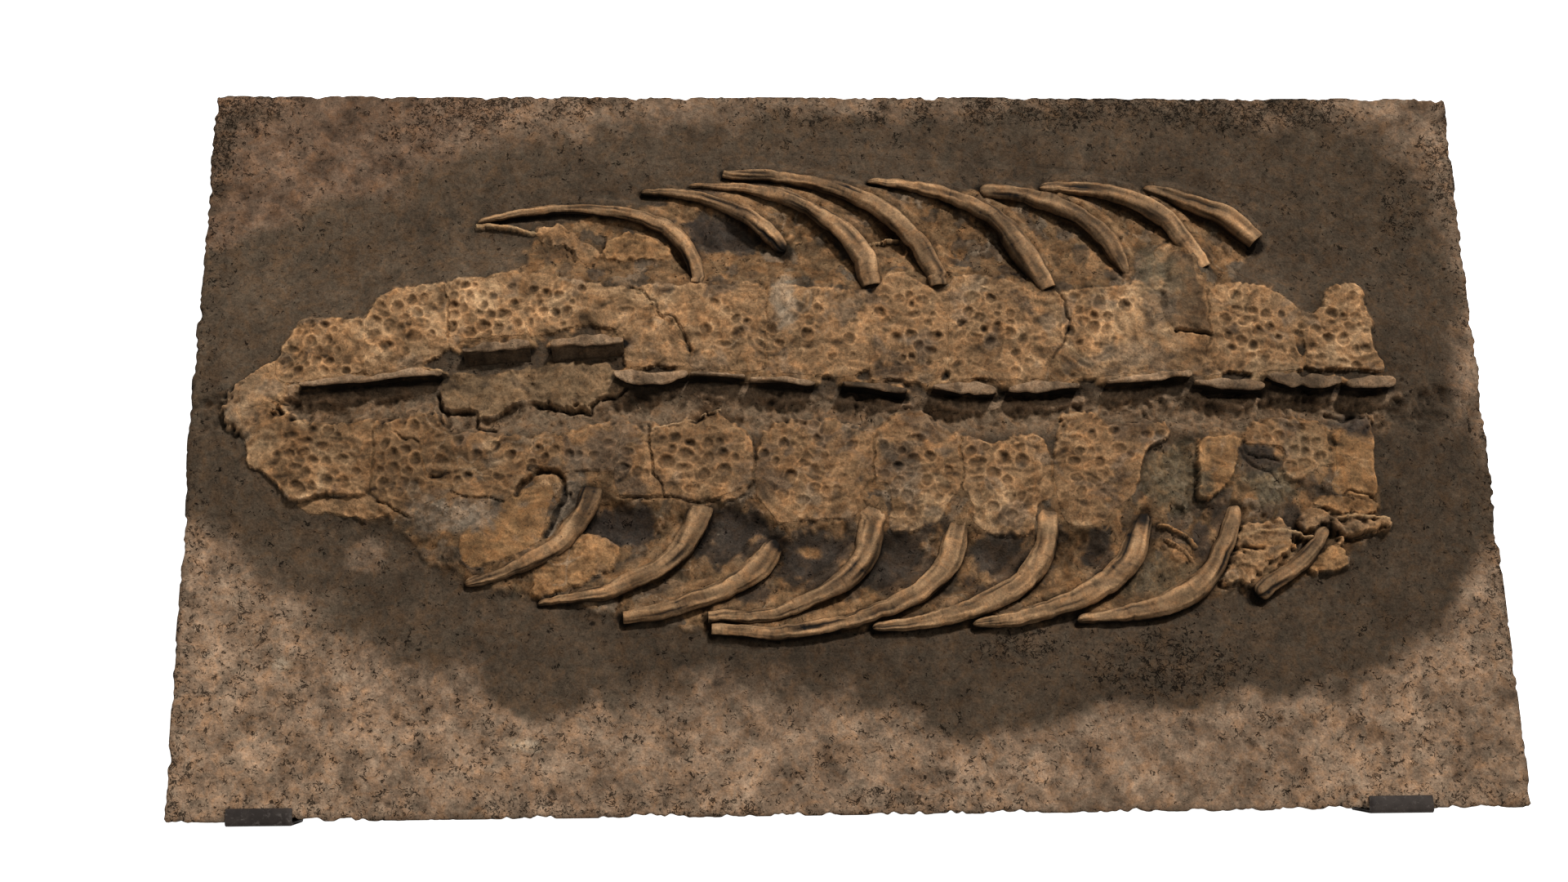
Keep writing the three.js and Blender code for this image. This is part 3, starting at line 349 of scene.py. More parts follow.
# Lower plates
lowerScutes = [
    {
        "outline": [(300, 506), (330, 501), (365, 513), (410, 514), (452, 514), (457, 535), (455, 570),
            (451, 603), (420, 606), (395, 606), (370, 613), (355, 612), (338, 595), (320, 577), (302, 571),
            (299, 545), (296, 529)],
        "pits": [(357, 535, 8, 5), (375, 541, 9, 5), (384, 528, 6), (403, 527, 6), (412, 539, 7, 4),
            (395, 546, 7, 5), (355, 557, 7, 5), (373, 556, 7, 5), (384, 565, 6), (400, 565, 6),
            (419, 563, 8, 6), (361, 573, 7, 4), (372, 582, 8, 7), (361, 595, 9, 6), (382, 595, 6),
            (400, 589, 7), (420, 590, 7), (340, 560, 5), (437, 552, 5), (436, 578, 5)],
    },
    {
        "outline": [(460, 513), (480, 509), (500, 513), (531, 502), (543, 508), (549, 524), (521, 528),
            (514, 545), (517, 570), (524, 587), (548, 590), (550, 603), (520, 618), (505, 633), (480, 622),
            (455, 607), (459, 570), (461, 535)],
        "pits": [(467, 560, 6), (483, 558, 7), (496, 552, 6), (481, 574, 7), (466, 577, 6), (498, 577, 6),
            (509, 564, 6, 9), (470, 592, 7), (511, 594, 8), (486, 603, 8, 6), (472, 545, 6), (467, 527, 7),
            (489, 520, 8), (507, 523, 7), (528, 513, 7, 5), (495, 590, 6)],
    },
    {
        "outline": [(523, 531), (548, 529), (575, 526), (590, 533), (640, 533), (650, 548), (641, 565),
            (648, 575), (636, 592), (628, 603), (615, 613), (590, 607), (575, 610), (554, 602), (551, 588),
            (527, 583), (519, 568), (516, 546)],
        "pits": [(540, 536, 10, 4), (562, 540, 6), (584, 558, 7), (540, 566, 8), (592, 580, 9, 4),
            (575, 584, 6), (563, 590, 6), (610, 584, 7, 4), (606, 548, 6), (625, 556, 6)],
    },
    {
        "outline": [(653, 547), (657, 531), (700, 533), (720, 521), (755, 513), (760, 525), (755, 545),
            (751, 560), (748, 577), (720, 577), (690, 580), (665, 575), (644, 563)],
        "pits": [(659, 550, 6), (697, 556, 5), (709, 557, 5), (745, 544, 7, 5), (652, 567, 5),
            (680, 553, 6), (668, 560, 5), (728, 560, 5)],
    },
    {
        "outline": [(763, 526), (775, 518), (788, 519), (793, 536), (797, 556), (799, 577), (808, 592),
            (811, 605), (800, 607), (780, 610), (762, 608), (757, 600), (752, 586), (753, 563), (758, 545)],
        "pits": [(768, 554, 8, 5), (763, 574, 7, 5), (779, 579, 6), (785, 520, 6, 3), (789, 582, 5)],
    },
    {
        "outline": [(796, 525), (820, 520), (850, 511), (878, 504), (905, 520), (918, 535), (921, 560),
            (920, 588), (905, 599), (880, 608), (850, 614), (830, 611), (814, 604), (804, 588), (801, 570),
            (796, 545)],
        "pits": [(826, 536, 7), (845, 542, 6), (866, 543, 6), (881, 542, 5), (885, 555, 6),
            (838, 556, 9, 6), (816, 566, 9, 8), (822, 551, 6), (866, 562, 7), (836, 573, 9, 5),
            (838, 585, 9, 4), (863, 581, 7), (888, 576, 8), (882, 588, 7, 5), (848, 599, 9, 5),
            (822, 599, 7), (873, 527, 6, 5), (900, 560, 5)],
    },
    {
        "outline": [(937, 524), (948, 515), (980, 510), (1010, 515), (1030, 511), (1062, 528), (1068, 545),
            (1067, 580), (1062, 597), (1050, 612), (1050, 631), (1015, 637), (975, 640), (951, 643),
            (946, 633), (935, 620), (925, 608), (925, 590), (925, 560), (931, 540)],
        "pits": [(936, 555, 6), (959, 543, 6), (984, 539, 9, 4), (957, 520, 6), (1001, 541, 7),
            (996, 521, 6), (983, 569, 8, 4), (967, 583, 7), (997, 599, 7), (1011, 602, 6), (1024, 600, 6),
            (982, 612, 7, 5), (958, 607, 7), (1045, 545, 6), (1045, 518, 12, 5), (950, 565, 5),
            (1010, 560, 5)],
    },
    {
        "outline": [(1077, 530), (1086, 516), (1105, 505), (1130, 500), (1145, 505), (1152, 522),
            (1173, 532), (1174, 560), (1177, 598), (1164, 612), (1158, 624), (1152, 637), (1135, 645),
            (1115, 652), (1096, 653), (1087, 648), (1091, 612), (1085, 593), (1072, 590), (1071, 560)],
        "pits": [(1080, 546, 7), (1081, 580, 7, 5), (1100, 571, 6), (1100, 588, 6, 5), (1093, 602, 6, 4),
            (1108, 608, 7), (1119, 563, 7), (1104, 552, 5), (1098, 627, 6), (1115, 628, 6),
            (1122, 537, 13, 5), (1137, 588, 7, 6), (1156, 597, 7), (1161, 575, 6), (1150, 611, 5),
            (1138, 560, 6)],
    },
    {
        "outline": [(1179, 531), (1197, 536), (1215, 541), (1245, 531), (1263, 531), (1280, 537),
            (1285, 560), (1287, 590), (1288, 611), (1274, 617), (1268, 640), (1263, 655), (1220, 656),
            (1205, 651), (1193, 640), (1193, 620), (1182, 601), (1179, 565)],
        "pits": [(1197, 566, 9, 6), (1187, 552, 6), (1206, 549, 7, 5), (1229, 562, 8), (1252, 565, 8),
            (1248, 548, 8, 5), (1193, 537, 7, 3), (1265, 539, 8, 4), (1217, 580, 8), (1194, 588, 10, 4),
            (1234, 588, 6), (1237, 609, 6), (1250, 608, 6), (1216, 621, 7), (1239, 630, 7),
            (1265, 602, 7, 5), (1258, 620, 5), (1202, 633, 5)],
    },
    {
        "outline": [(1294, 522), (1300, 505), (1325, 499), (1345, 506), (1352, 520), (1385, 516),
            (1400, 511), (1430, 516), (1432, 535), (1410, 545), (1400, 560), (1398, 580), (1394, 600),
            (1380, 612), (1362, 626), (1350, 640), (1312, 644), (1300, 625), (1292, 600), (1290, 565)],
        "pits": [(1300, 525, 6), (1312, 537, 12, 4), (1336, 532, 6), (1322, 553, 5), (1336, 553, 5),
            (1347, 565, 6), (1315, 566, 7, 5), (1369, 549, 9, 6), (1363, 528, 6), (1363, 568, 8, 4),
            (1382, 558, 5), (1318, 586, 7, 5), (1340, 588, 8, 4), (1356, 593, 6, 4), (1325, 603, 6),
            (1403, 533, 7, 5), (1421, 531, 6, 5)],
    },
    {
        "outline": [(1523, 541), (1529, 522), (1536, 513), (1570, 511), (1600, 513), (1617, 509),
            (1622, 530), (1630, 548), (1633, 568), (1617, 572), (1600, 582), (1590, 591), (1580, 587),
            (1569, 577), (1574, 560), (1567, 547), (1545, 546), (1532, 545)],
        "pits": [(1577, 525, 6), (1592, 525, 6), (1566, 535, 6), (1597, 541, 6), (1611, 541, 5),
            (1583, 552, 6, 6), (1597, 554, 7), (1616, 560, 7), (1596, 568, 7), (1580, 571, 7),
            (1552, 537, 6)],
    },
]

# Smooth bones without pits: outline, rise above the face, and how strongly the surface is worked
smoothBones = {
    "end_plate_left": {
        "rise": 11, "rough": 0.5, "tint": "bone",
        "outline": [(303, 455), (315, 450), (337, 441), (336, 461), (349, 471), (362, 470), (369, 485),
            (345, 491), (330, 496), (302, 500), (294, 491), (298, 463)],
    },
    "end_lump_left": {
        "rise": 14, "rough": 0.35, "tint": "bone",
        "outline": [(271, 480), (283, 470), (294, 462), (295, 473), (289, 490), (292, 502), (294, 528),
            (288, 530), (278, 525), (270, 517), (268, 500)],
    },
    "end_plate_lower_right": {
        "rise": 11, "rough": 0.7, "tint": "orangeBone",
        "outline": [(1470, 536), (1500, 533), (1519, 533), (1518, 548), (1513, 570), (1507, 590),
            (1482, 612), (1465, 607), (1468, 590), (1467, 560)],
    },
    "end_plate_right": {
        "rise": 10, "rough": 0.25, "tint": "orangeBone",
        "outline": [(1655, 520), (1668, 511), (1678, 498), (1687, 497), (1685, 530), (1683, 560),
            (1686, 580), (1688, 603), (1676, 609), (1655, 606), (1633, 604), (1629, 590), (1636, 575),
            (1635, 547), (1631, 530)],
    },
    "bone_sheet_lower_left": {
        "rise": 8, "rough": 0.45, "tint": "orangeBone",
        "outline": [(615, 615), (634, 607), (642, 598), (656, 590), (670, 587), (676, 593), (678, 605),
            (675, 620), (668, 640), (665, 655), (660, 664), (643, 674), (625, 684), (600, 692), (580, 697),
            (565, 690), (561, 670), (570, 650), (590, 635), (605, 622)],
    },
}

# Loose fragments, too many to be solids of their own
fragments = {
    "fragmentUpperLeft": {
        "rise": 4.0, "rough": 1.1, "tint": "bone",
        "outline": [(655, 277), (680, 275), (700, 282), (720, 295), (735, 310), (725, 320), (712, 322),
            (706, 312), (700, 303), (688, 297), (670, 300), (655, 290)],
    },
    "tanPatch": {
        "rise": 4.4, "rough": 1.1, "tint": "orangeBone",
        "outline": [(742, 318), (745, 300), (755, 290), (770, 284), (790, 290), (810, 300), (825, 315),
            (800, 321)],
    },
    "brownTongue": {
        "rise": 12.6, "rough": 0.4, "tint": "umber", "soft": 6,
        "outline": [(1433, 320), (1445, 305), (1455, 310), (1462, 330), (1470, 350), (1478, 370),
            (1480, 403), (1460, 405), (1440, 402), (1425, 380), (1425, 350)],
    },
    "brownSheet": {
        "rise": 10.4, "rough": 0.8, "tint": "lowerBone", "kind": "crust",
        "outline": [(1390, 352), (1402, 330), (1420, 300), (1440, 300), (1476, 340), (1484, 356),
            (1482, 410), (1482, 456), (1440, 457), (1376, 458), (1386, 440), (1394, 410)],
    },
    "seamSheet": {
        "rise": 10.8, "rough": 0.9, "tint": "bone", "kind": "crust",
        "outline": [(1268, 360), (1284, 356), (1298, 366), (1306, 384), (1306, 402), (1298, 424),
            (1290, 440), (1272, 440), (1264, 400)],
    },
    "tanSheet": {
        "rise": 4.6, "rough": 1.0, "tint": "orangeBone",
        "outline": [(712, 652), (735, 652), (745, 660), (760, 668), (762, 680), (752, 690), (745, 700),
            (720, 712), (700, 720), (680, 727), (660, 735), (652, 728), (655, 700), (662, 692), (690, 680),
            (700, 665)],
    },
    "greyStrip": {
        "rise": 6.6, "rough": 0.8, "tint": "greyBone",
        "outline": [(692, 594), (710, 590), (708, 612), (695, 630), (682, 650), (680, 658), (668, 660),
            (672, 640), (680, 620), (688, 600)],
    },
    "smallBone": {
        "rise": 8.0, "rough": 0.8, "tint": "bone",
        "outline": [(879, 614), (885, 608), (900, 600), (912, 594), (920, 597), (918, 603), (905, 608),
            (895, 614), (884, 618)],
    },
    "rightSplint": {
        "rise": 7.5, "rough": 1.0, "tint": "bone",
        "outline": [(1590, 632), (1615, 622), (1640, 635), (1665, 638), (1690, 632), (1702, 635),
            (1705, 643), (1690, 650), (1670, 655), (1650, 665), (1640, 668), (1637, 650), (1621, 640),
            (1607, 648), (1598, 652)],
    },
    "rightShard": {
        "rise": 7.8, "rough": 0.9, "tint": "orangeBone", "soft": 0.8,
        "outline": [(1511, 676), (1530, 668), (1556, 668), (1579, 662), (1588, 671), (1566, 680),
            (1548, 689), (1524, 694), (1508, 690)],
    },
    "rightSplinter": {
        "rise": 4.8, "rough": 1.0, "tint": "orangeBone",
        "outline": [(1615, 677), (1640, 670), (1650, 680), (1645, 697), (1625, 703), (1605, 695)],
    },
    "knotLump": {
        "rise": 6.8, "rough": 1.5, "tint": "bone",
        "outline": [(1520, 645), (1550, 640), (1560, 636), (1575, 636), (1585, 645), (1583, 665),
            (1560, 675), (1550, 690), (1545, 705), (1525, 715), (1495, 710), (1500, 690), (1512, 665)],
    },
    "rightBar": {
        "rise": 7.4, "rough": 1.1, "tint": "orangeBone",
        "outline": [(1612, 610), (1640, 607), (1660, 612), (1688, 612), (1690, 622), (1672, 628),
            (1640, 628), (1615, 618)],
    },
    "lowerLedge": {
        "rise": 5.4, "rough": 1.1, "tint": "bone",
        "outline": [(366, 617), (395, 609), (430, 609), (452, 606), (470, 618), (484, 626), (470, 634),
            (440, 636), (410, 630), (385, 628)],
    },
}

# Neural spines: the table on top as (u, v, width), how far the blade under it leans, and its arch
spineRise = 21.0
spines = [
    {"table": [(366, 470, 2.6), (410, 466, 3.4), (460, 461, 4.2), (505, 456, 5.2), (540, 456, 4.6)],
        "tone": 0.8},
    {"table": [(566, 428, 3.0), (585, 425, 4.8), (605, 424, 5.8), (630, 422, 5.6), (648, 421, 3.8)],
        "lean": 7, "tone": 0.74,
     "arch": [(545, 462), (560, 456), (600, 458), (640, 452), (650, 448), (652, 470), (655, 478),
         (640, 490), (620, 500), (600, 510), (583, 512), (581, 504), (550, 503), (541, 492), (541, 475)]},
    {"table": [(674, 421, 3.0), (695, 418, 5.4), (715, 416, 6.4), (740, 416, 6.4), (763, 415, 4.0)],
        "lean": 7, "tone": 0.74,
     "arch": [(645, 455), (660, 450), (678, 446), (700, 444), (736, 444), (750, 452), (765, 466),
         (768, 474), (755, 483), (727, 491), (723, 502), (697, 501), (678, 497), (654, 494), (645, 487),
         (652, 474), (650, 464)]},
    {"table": [(752, 456, 2.6), (772, 461, 7.5), (795, 463, 9.0), (820, 461, 6.5), (842, 457, 3.0)]},
    {"table": [(845, 457, 1.8), (876, 456, 2.2), (912, 460, 2.2)], "tone": 0.8},
    {"table": [(919, 463, 2.2), (960, 464, 2.6), (985, 467, 3.6), (998, 467, 3.0)], "tone": 0.8},
    {"table": [(1032, 468, 2.4), (1050, 470, 3.6), (1075, 472, 4.6), (1100, 477, 4.0), (1111, 478, 2.6)],
        "tone": 0.5},
    {"table": [(1143, 472, 3.0), (1165, 474, 6.0), (1190, 475, 7.2), (1210, 477, 5.0), (1220, 478, 3.2)],
        "tone": 0.7},
    {"table": [(1236, 476, 3.4), (1260, 474, 6.0), (1290, 472, 5.4), (1322, 471, 3.4)], "tone": 0.7},
    {"table": [(1357, 466, 2.6), (1385, 464, 4.0), (1415, 460, 5.0), (1440, 457, 5.0), (1460, 457, 4.0)]},
    {"table": [(1464, 466, 2.8), (1490, 468, 4.6), (1515, 470, 6.2), (1538, 471, 6.0), (1549, 471, 3.6)]},
    {"table": [(1553, 459, 4.0), (1580, 463, 9.0), (1605, 466, 10.0), (1625, 466, 8.0), (1643, 464, 4.0)]},
    {"table": [(1650, 468, 3.4), (1670, 468, 6.0), (1690, 467, 6.8), (1709, 466, 3.6)]},
]

# Ribs: middle line as (u, v, width, rise), whether an end is broken off square, and grooves along the top
upperRibs = [
    {"line": [(584, 272, 3, 3), (640, 260, 5, 5), (700, 254, 5.5, 7), (745, 256, 6.5, 8), (785, 264, 8, 9),
        (818, 279, 9, 10), (840, 300, 10, 11), (851, 325, 9, 11), (853, 345, 8, 11)], "cutEnd": True,
        "tone": 0.9},
    {"line": [(784, 234, 3.5, 4), (830, 235, 5.5, 6), (870, 243, 7, 8), (905, 258, 9, 9), (935, 277, 10, 9),
        (962, 304, 9, 8)], "groove": 0.5, "tone": 0.88, "rootedEnd": 12},
    {"line": [(842, 227, 2.5, 3), (910, 229, 5.5, 6), (955, 237, 8, 8), (1000, 257, 10, 10),
        (1035, 283, 13, 12), (1057, 310, 14, 13), (1064, 330, 14, 13), (1067, 347, 13, 13)], "cutEnd": True,
        "tone": 0.85},
    {"line": [(886, 211, 5, 5), (950, 214, 7, 7), (1010, 225, 8.5, 8), (1060, 242, 9.5, 10),
        (1100, 268, 12, 12), (1128, 300, 13, 13), (1146, 330, 12, 13), (1149, 348, 11, 13)], "cutEnd": True,
        "cutStart": True, "tone": 0.68},
    {"line": [(1062, 220, 2.5, 4), (1130, 229, 7, 7), (1180, 244, 9, 9), (1220, 264, 11, 11),
        (1248, 295, 14, 13), (1268, 325, 15, 14), (1284, 352, 12, 14)], "cutEnd": True, "groove": 0.6,
        "tone": 0.82},
    {"line": [(1200, 231, 7, 6), (1250, 236, 9, 8), (1290, 246, 11, 10), (1325, 263, 11, 11),
        (1353, 285, 12, 12), (1370, 310, 10, 12), (1382, 336, 5, 11)], "groove": 0.9, "tone": 0.72},
    {"line": [(1272, 228, 5, 6), (1330, 229, 9, 8), (1380, 239, 10.5, 10), (1420, 258, 13, 11),
        (1445, 283, 12, 12), (1463, 308, 10.5, 13), (1476, 326, 9, 13)], "cutEnd": True, "groove": 0.6,
        "tone": 1.12},
    {"line": [(1400, 229, 4, 6), (1450, 242, 10, 9), (1490, 256, 12, 11), (1518, 272, 13, 12),
        (1539, 291, 11, 12)],
     "cutEnd": True, "groove": 1.6, "tone": 0.8},
]
lowerRibs = [
    {"line": [(728, 580, 14, 10), (722, 605, 13, 11), (712, 628, 13, 11), (697, 650, 12, 10),
        (675, 670, 11, 10), (650, 684, 10, 11), (620, 698, 8.5, 9.5), (590, 708, 7, 7.5), (568, 714, 4, 5)],
        "tone": 0.76, "rooted": 12},
    {"line": [(861, 602, 12, 6), (857, 620, 16, 9), (845, 652, 14, 10), (830, 675, 12, 10),
        (808, 693, 11, 10), (780, 707, 10, 9), (745, 722, 9, 8), (700, 731, 6, 6), (658, 739, 3, 3)],
        "tone": 0.66, "rooted": 12},
    {"line": [(953, 659, 12, 8), (935, 684, 14, 9), (912, 705, 13, 9), (885, 720, 11, 9), (850, 733, 10, 9),
        (815, 746, 9, 9), (764, 755, 7, 7)], "cutEnd": True, "groove": 0.5, "tone": 0.84, "rooted": 9},
    {"line": [(1070, 596, 13, 6), (1070, 612, 17, 10), (1068, 650, 16, 11), (1058, 682, 14, 11),
        (1038, 705, 12, 11), (1012, 722, 10, 10), (982, 738, 9, 9), (950, 750, 7.5, 8), (910, 754, 7, 8),
        (868, 755, 6, 8)], "cutEnd": True, "tone": 0.96, "rooted": 20},
    {"line": [(1184, 602, 12, 6), (1180, 618, 15, 10), (1172, 655, 15, 11), (1163, 685, 14, 11),
        (1145, 707, 13, 11), (1118, 728, 11, 11), (1085, 744, 10, 10), (1045, 757, 9, 9), (1000, 767, 9, 8),
        (950, 774, 8, 8), (872, 770, 6, 7)],
     "cutEnd": True, "groove": 0.8, "tone": 0.96, "rooted": 16},
    {"line": [(1287, 606, 12, 6), (1286, 622, 14, 10), (1283, 655, 15, 11), (1275, 680, 15, 11),
        (1258, 705, 14, 11), (1235, 723, 13, 11), (1205, 738, 12, 10), (1170, 750, 10, 9),
        (1130, 759, 8, 8), (1070, 768, 4, 6)], "groove": 0.5, "tone": 0.93, "rooted": 18},
    {"line": [(1402, 626, 10, 7), (1398, 645, 13, 9), (1388, 678, 15, 10), (1370, 700, 15, 11),
        (1345, 718, 14, 11), (1312, 735, 12, 10), (1275, 747, 10, 9), (1235, 757, 8, 8), (1192, 763, 4, 6)],
        "groove": 0.7, "tone": 0.77, "rooted": 14},
    {"line": [(1515, 618, 8, 10), (1508, 645, 10, 11), (1498, 672, 11, 11), (1484, 700, 13, 10),
        (1462, 720, 15, 9), (1432, 736, 13, 8), (1385, 749, 10, 7), (1320, 758, 4, 5)], "tone": 0.63},
    {"line": [(1626, 645, 8, 9), (1606, 676, 10, 10), (1582, 697, 10, 10), (1557, 712, 11, 9),
        (1541, 727, 10, 8)],
     "tone": 0.56},
]

# Hollows and mounds of the matrix as (u, v, radius along, radius across, rise)
matrixRelief = [
    (767, 646, 48, 26, -4), (895, 655, 46, 38, -5), (1008, 660, 42, 22, -3), (1120, 680, 30, 26, -3),
    (1232, 682, 32, 28, -3), (1336, 682, 22, 24, -5), (1440, 585, 40, 50, -5), (920, 288, 52, 28, -4),
    (1080, 290, 26, 30, -2), (1190, 300, 36, 36, -1), (1320, 310, 40, 26, 2), (1590, 665, 18, 26, -3),
    (785, 303, 44, 19, 3), (690, 293, 46, 16, 2), (706, 690, 52, 34, 3), (1453, 352, 26, 52, 5),
    (1545, 680, 42, 36, 3), (1645, 642, 62, 10, 3), (1630, 690, 22, 15, 2), (1425, 430, 52, 22, 2),
    (560, 640, 46, 36, 2),
]
bed = {"rise": 8.0, "from": (330, 490), "to": (1660, 490), "halfWidth": 45.0, "slope": 50.0,
    "troughDepth": 3.4, "troughPlace": 15.5, "troughFloor": 3.0, "troughBank": 17.0}

# Columns of bone across the trough between the vertebrae as (u, v, radius along, radius across, rise)
columns = [
    (547, 466, 7, 22, 4), (660, 440, 7, 22, 4), (912, 478, 8, 20, 4.5), (1014, 482, 14, 20, 3.4),
    (1126, 488, 14, 14, 3.4), (1207, 512, 8, 16, 3), (1305, 512, 10, 18, 3), (1345, 478, 16, 18, 3.4),
    (1432, 494, 6, 16, 2.6), (1462, 478, 6, 12, 3), (1532, 500, 8, 22, 3), (1617, 492, 7, 18, 3),
    (1548, 484, 6, 10, 3), (1648, 488, 6, 14, 2.6), (374, 490, 5, 14, 4), (455, 494, 6, 10, 2),
]

# Thin slivers and edges of bone as colour, width, rise and a line of (u, v)
slivers = [
    ("paleBone", 3.6, 4.2, [(584, 275), (610, 276), (652, 284)]),
    ("bone", 4.4, 5.0, [(672, 284), (692, 286), (706, 300), (717, 322)]),
    ("lightPatch", 1.6, 9.8, [(798, 524), (830, 518), (860, 508), (882, 500)]),
    ("paleBone", 1.6, 5.6, [(1060, 300), (1092, 292), (1120, 296)]),
    ("bone", 2.4, 5.2, [(1100, 326), (1112, 306), (1108, 288)]),
    ("paleBone", 2.6, 8.4, [(1512, 655), (1560, 648), (1610, 656)]),
    ("orangeBone", 3.4, 7.4, [(1518, 672), (1560, 664), (1588, 668)]),
    ("bone", 3.0, 6.0, [(1500, 712), (1535, 702), (1560, 690)]),
    ("orangeBone", 2.2, 6.0, [(1420, 640), (1450, 652), (1468, 668)]),
    ("bone", 1.8, 5.6, [(1428, 660), (1452, 672), (1466, 690)]),
    ("paleBone", 2.4, 9.4, [(1640, 632), (1672, 630), (1702, 634)]),
    ("greyBone", 4.0, 7.6, [(700, 592), (696, 616), (682, 640)]),
]

# Where broken bone litters the ground among the ribs
cages = [
    [(640, 318), (655, 282), (700, 268), (745, 262), (800, 243), (890, 217), (1000, 222), (1065, 224),
        (1200, 230),
     (1290, 228), (1400, 232), (1480, 246), (1535, 288), (1500, 365), (1300, 380), (900, 375), (640, 345)],
    [(452, 600), (478, 648), (520, 686), (570, 712), (660, 738), (760, 757), (870, 775), (950, 780),
        (1060, 770),
     (1200, 764), (1320, 760), (1400, 752), (1480, 728), (1540, 726), (1600, 710), (1650, 695), (1700, 650),
     (1690, 600), (1500, 520), (1400, 560), (1000, 580), (700, 570)],
]

# Cracks and slits as width, depth and a line of pixels
cracks = [
    (0.8, 2.0, [(770, 352), (785, 358), (795, 365), (802, 372), (806, 382), (812, 388), (820, 386),
        (831, 398), (838, 405), (842, 418), (846, 423), (846, 436)]),
    (0.8, 2.6, [(793, 518), (793, 536), (798, 556), (800, 577), (809, 592), (814, 606)]),
    (0.8, 2.0, [(758, 607), (790, 611), (815, 607), (850, 615), (880, 610)]),
    (0.7, 1.6, [(921, 530), (923, 560), (922, 590), (918, 600)]),
    (0.9, 2.2, [(459, 612), (480, 623), (500, 633)]),
    (0.8, 2.0, [(483, 530), (490, 536), (500, 540), (510, 537), (515, 543)]),
    (0.7, 1.8, [(553, 603), (570, 609), (590, 607), (615, 614)]),
    (0.7, 1.6, [(524, 585), (540, 583), (560, 578)]),
    (0.9, 2.2, [(1293, 356), (1303, 372), (1308, 388), (1306, 404), (1298, 424), (1291, 440)]),
    (1.2, 3.4, [(1438, 404), (1450, 408), (1465, 406), (1478, 409)]),
    (0.6, 1.5, [(906, 432), (903, 450)]),
    (0.7, 1.0, [(937, 352), (939, 400), (936, 430)]),
    (1.3, 3.4, [(536, 486), (540, 498), (549, 505), (581, 505), (584, 514), (584, 524), (605, 527)]),
    (1.2, 3.4, [(654, 495), (678, 498), (697, 503), (724, 504), (728, 493), (755, 485), (769, 476)]),
    (1.6, 3.2, [(1624, 507), (1645, 513), (1660, 508)]),
    (0.8, 2.0, [(884, 619), (905, 609), (919, 604)]),
    (0.8, 1.6, [(1640, 652), (1665, 657), (1690, 652)]),
    (1.1, 2.4, [(1512, 671), (1530, 668), (1550, 672)]),
    (1.8, 3.6, [(1600, 652), (1590, 668), (1575, 684), (1558, 700)]),
    (2.0, 4.6, [(632, 605), (640, 593), (655, 581), (672, 577), (685, 581), (690, 592), (689, 606),
        (681, 625), (674, 645), (668, 657)]),
    (1.0, 2.4, [(697, 600), (696, 616), (688, 632)]),
    (0.8, 2.0, [(690, 296), (698, 304), (705, 318)]),
    (0.7, 1.4, [(1487, 784), (1494, 792), (1500, 800)]),
    (0.7, 1.6, [(1072, 530), (1070, 560), (1068, 590)]),
    (0.6, 1.2, [(1177, 540), (1178, 575), (1182, 600)]),
    (1.0, 2.2, [(1518, 552), (1524, 562), (1540, 572), (1556, 578), (1568, 590)]),
    (0.8, 1.8, [(545, 344), (549, 380), (549, 415)]),
    (1.0, 2.4, [(1520, 545), (1530, 556), (1548, 558), (1566, 566)]),
    (0.7, 1.6, [(449, 458), (420, 464), (384, 469), (350, 472)]),
    (0.7, 1.4, [(456, 518), (458, 545), (457, 580), (453, 604)]),
    (0.8, 1.6, [(1481, 360), (1480, 395), (1478, 430)]),
    (0.8, 2.2, [(1688, 610), (1672, 604), (1655, 600), (1645, 604)]),
]
print("shapes listed")


# Plates, smooth bones, fragments and arches all become the same kind of sheet of bone
def boneSheet(name, kind, outline, rise, crown, rough, tint, pits=(), ragged=0.7, soft=1.8):
    corners = fromView(outline, rise)
    loop = anticlockwise(smoothLine(corners, 0.8, closed=True))
    middle = corners.mean(0)
    holes = []
    for u, v, *radii in pits:
        holes.append((*fromView((u, v), rise), radii[0] * pixelSize, radii[-1] * pixelSize))
    return {"name": name, "kind": kind, "loop": loop + ragged * warpAt(loop), "rise": rise, "crown": crown,
            "rough": rough, "tint": tint, "soft": soft, "holes": holes, "middle": middle,
            "reach": np.linalg.norm(corners - middle, axis=1).max()}


def archOutline(spine):
    # the low pad of the arch south of a spine, where no outline of its own is given
    if "arch" in spine:
        return spine["arch"]
    (u0, v0), (u1, v1) = spine["table"][0][:2], spine["table"][-1][:2]
    u, v = (u0 + u1) / 2, (v0 + v1) / 2
    return [(u0 - 4, v0 + 12), (u, v + 13), (u1 + 4, v1 + 12), (u1 + 7, v1 + 22), (u + 10, v + 31),
            (u - 12, v + 29), (u0 - 5, v0 + 24)]


plates, nodeOf = [], {}
for row, scutes, rise, tint in (("upper", upperScutes, 11.0, "bone"),
                                ("lower", lowerScutes, 10.0, "lowerBone")):
    for number, scute in enumerate(scutes, 1):
        name = f"{row}Plate{number}"
        nodeOf[name] = f"scute_{row}_{number}"
        plates.append(boneSheet(name, "crust", scute["outline"], rise, 1.5, 1.0, tint, scute["pits"]))
for node, bone in smoothBones.items():
    name = "smooth" + "".join(word.capitalize() for word in node.split("_"))
    nodeOf[name] = node
    plates.append(boneSheet(name, "crust", bone["outline"], bone["rise"], 1.0, bone["rough"], bone["tint"]))
for name, bone in fragments.items():
    plates.append(boneSheet(name, bone.get("kind", "fragment"), bone["outline"], bone["rise"], 0.5,
                            bone["rough"], bone["tint"], ragged=1.8, soft=bone.get("soft", 1.8)))
for number, spine in enumerate(spines, 1):
    kind, rise, tint = ("fragment", 9.5, "archBone") if "arch" in spine else ("pad", 7.6, "trough")
    plates.append(boneSheet(f"arch{number}", kind, archOutline(spine), rise, 0.9, 1.0, tint, ragged=1.3))
print("bone sheets outlined:", len(plates))

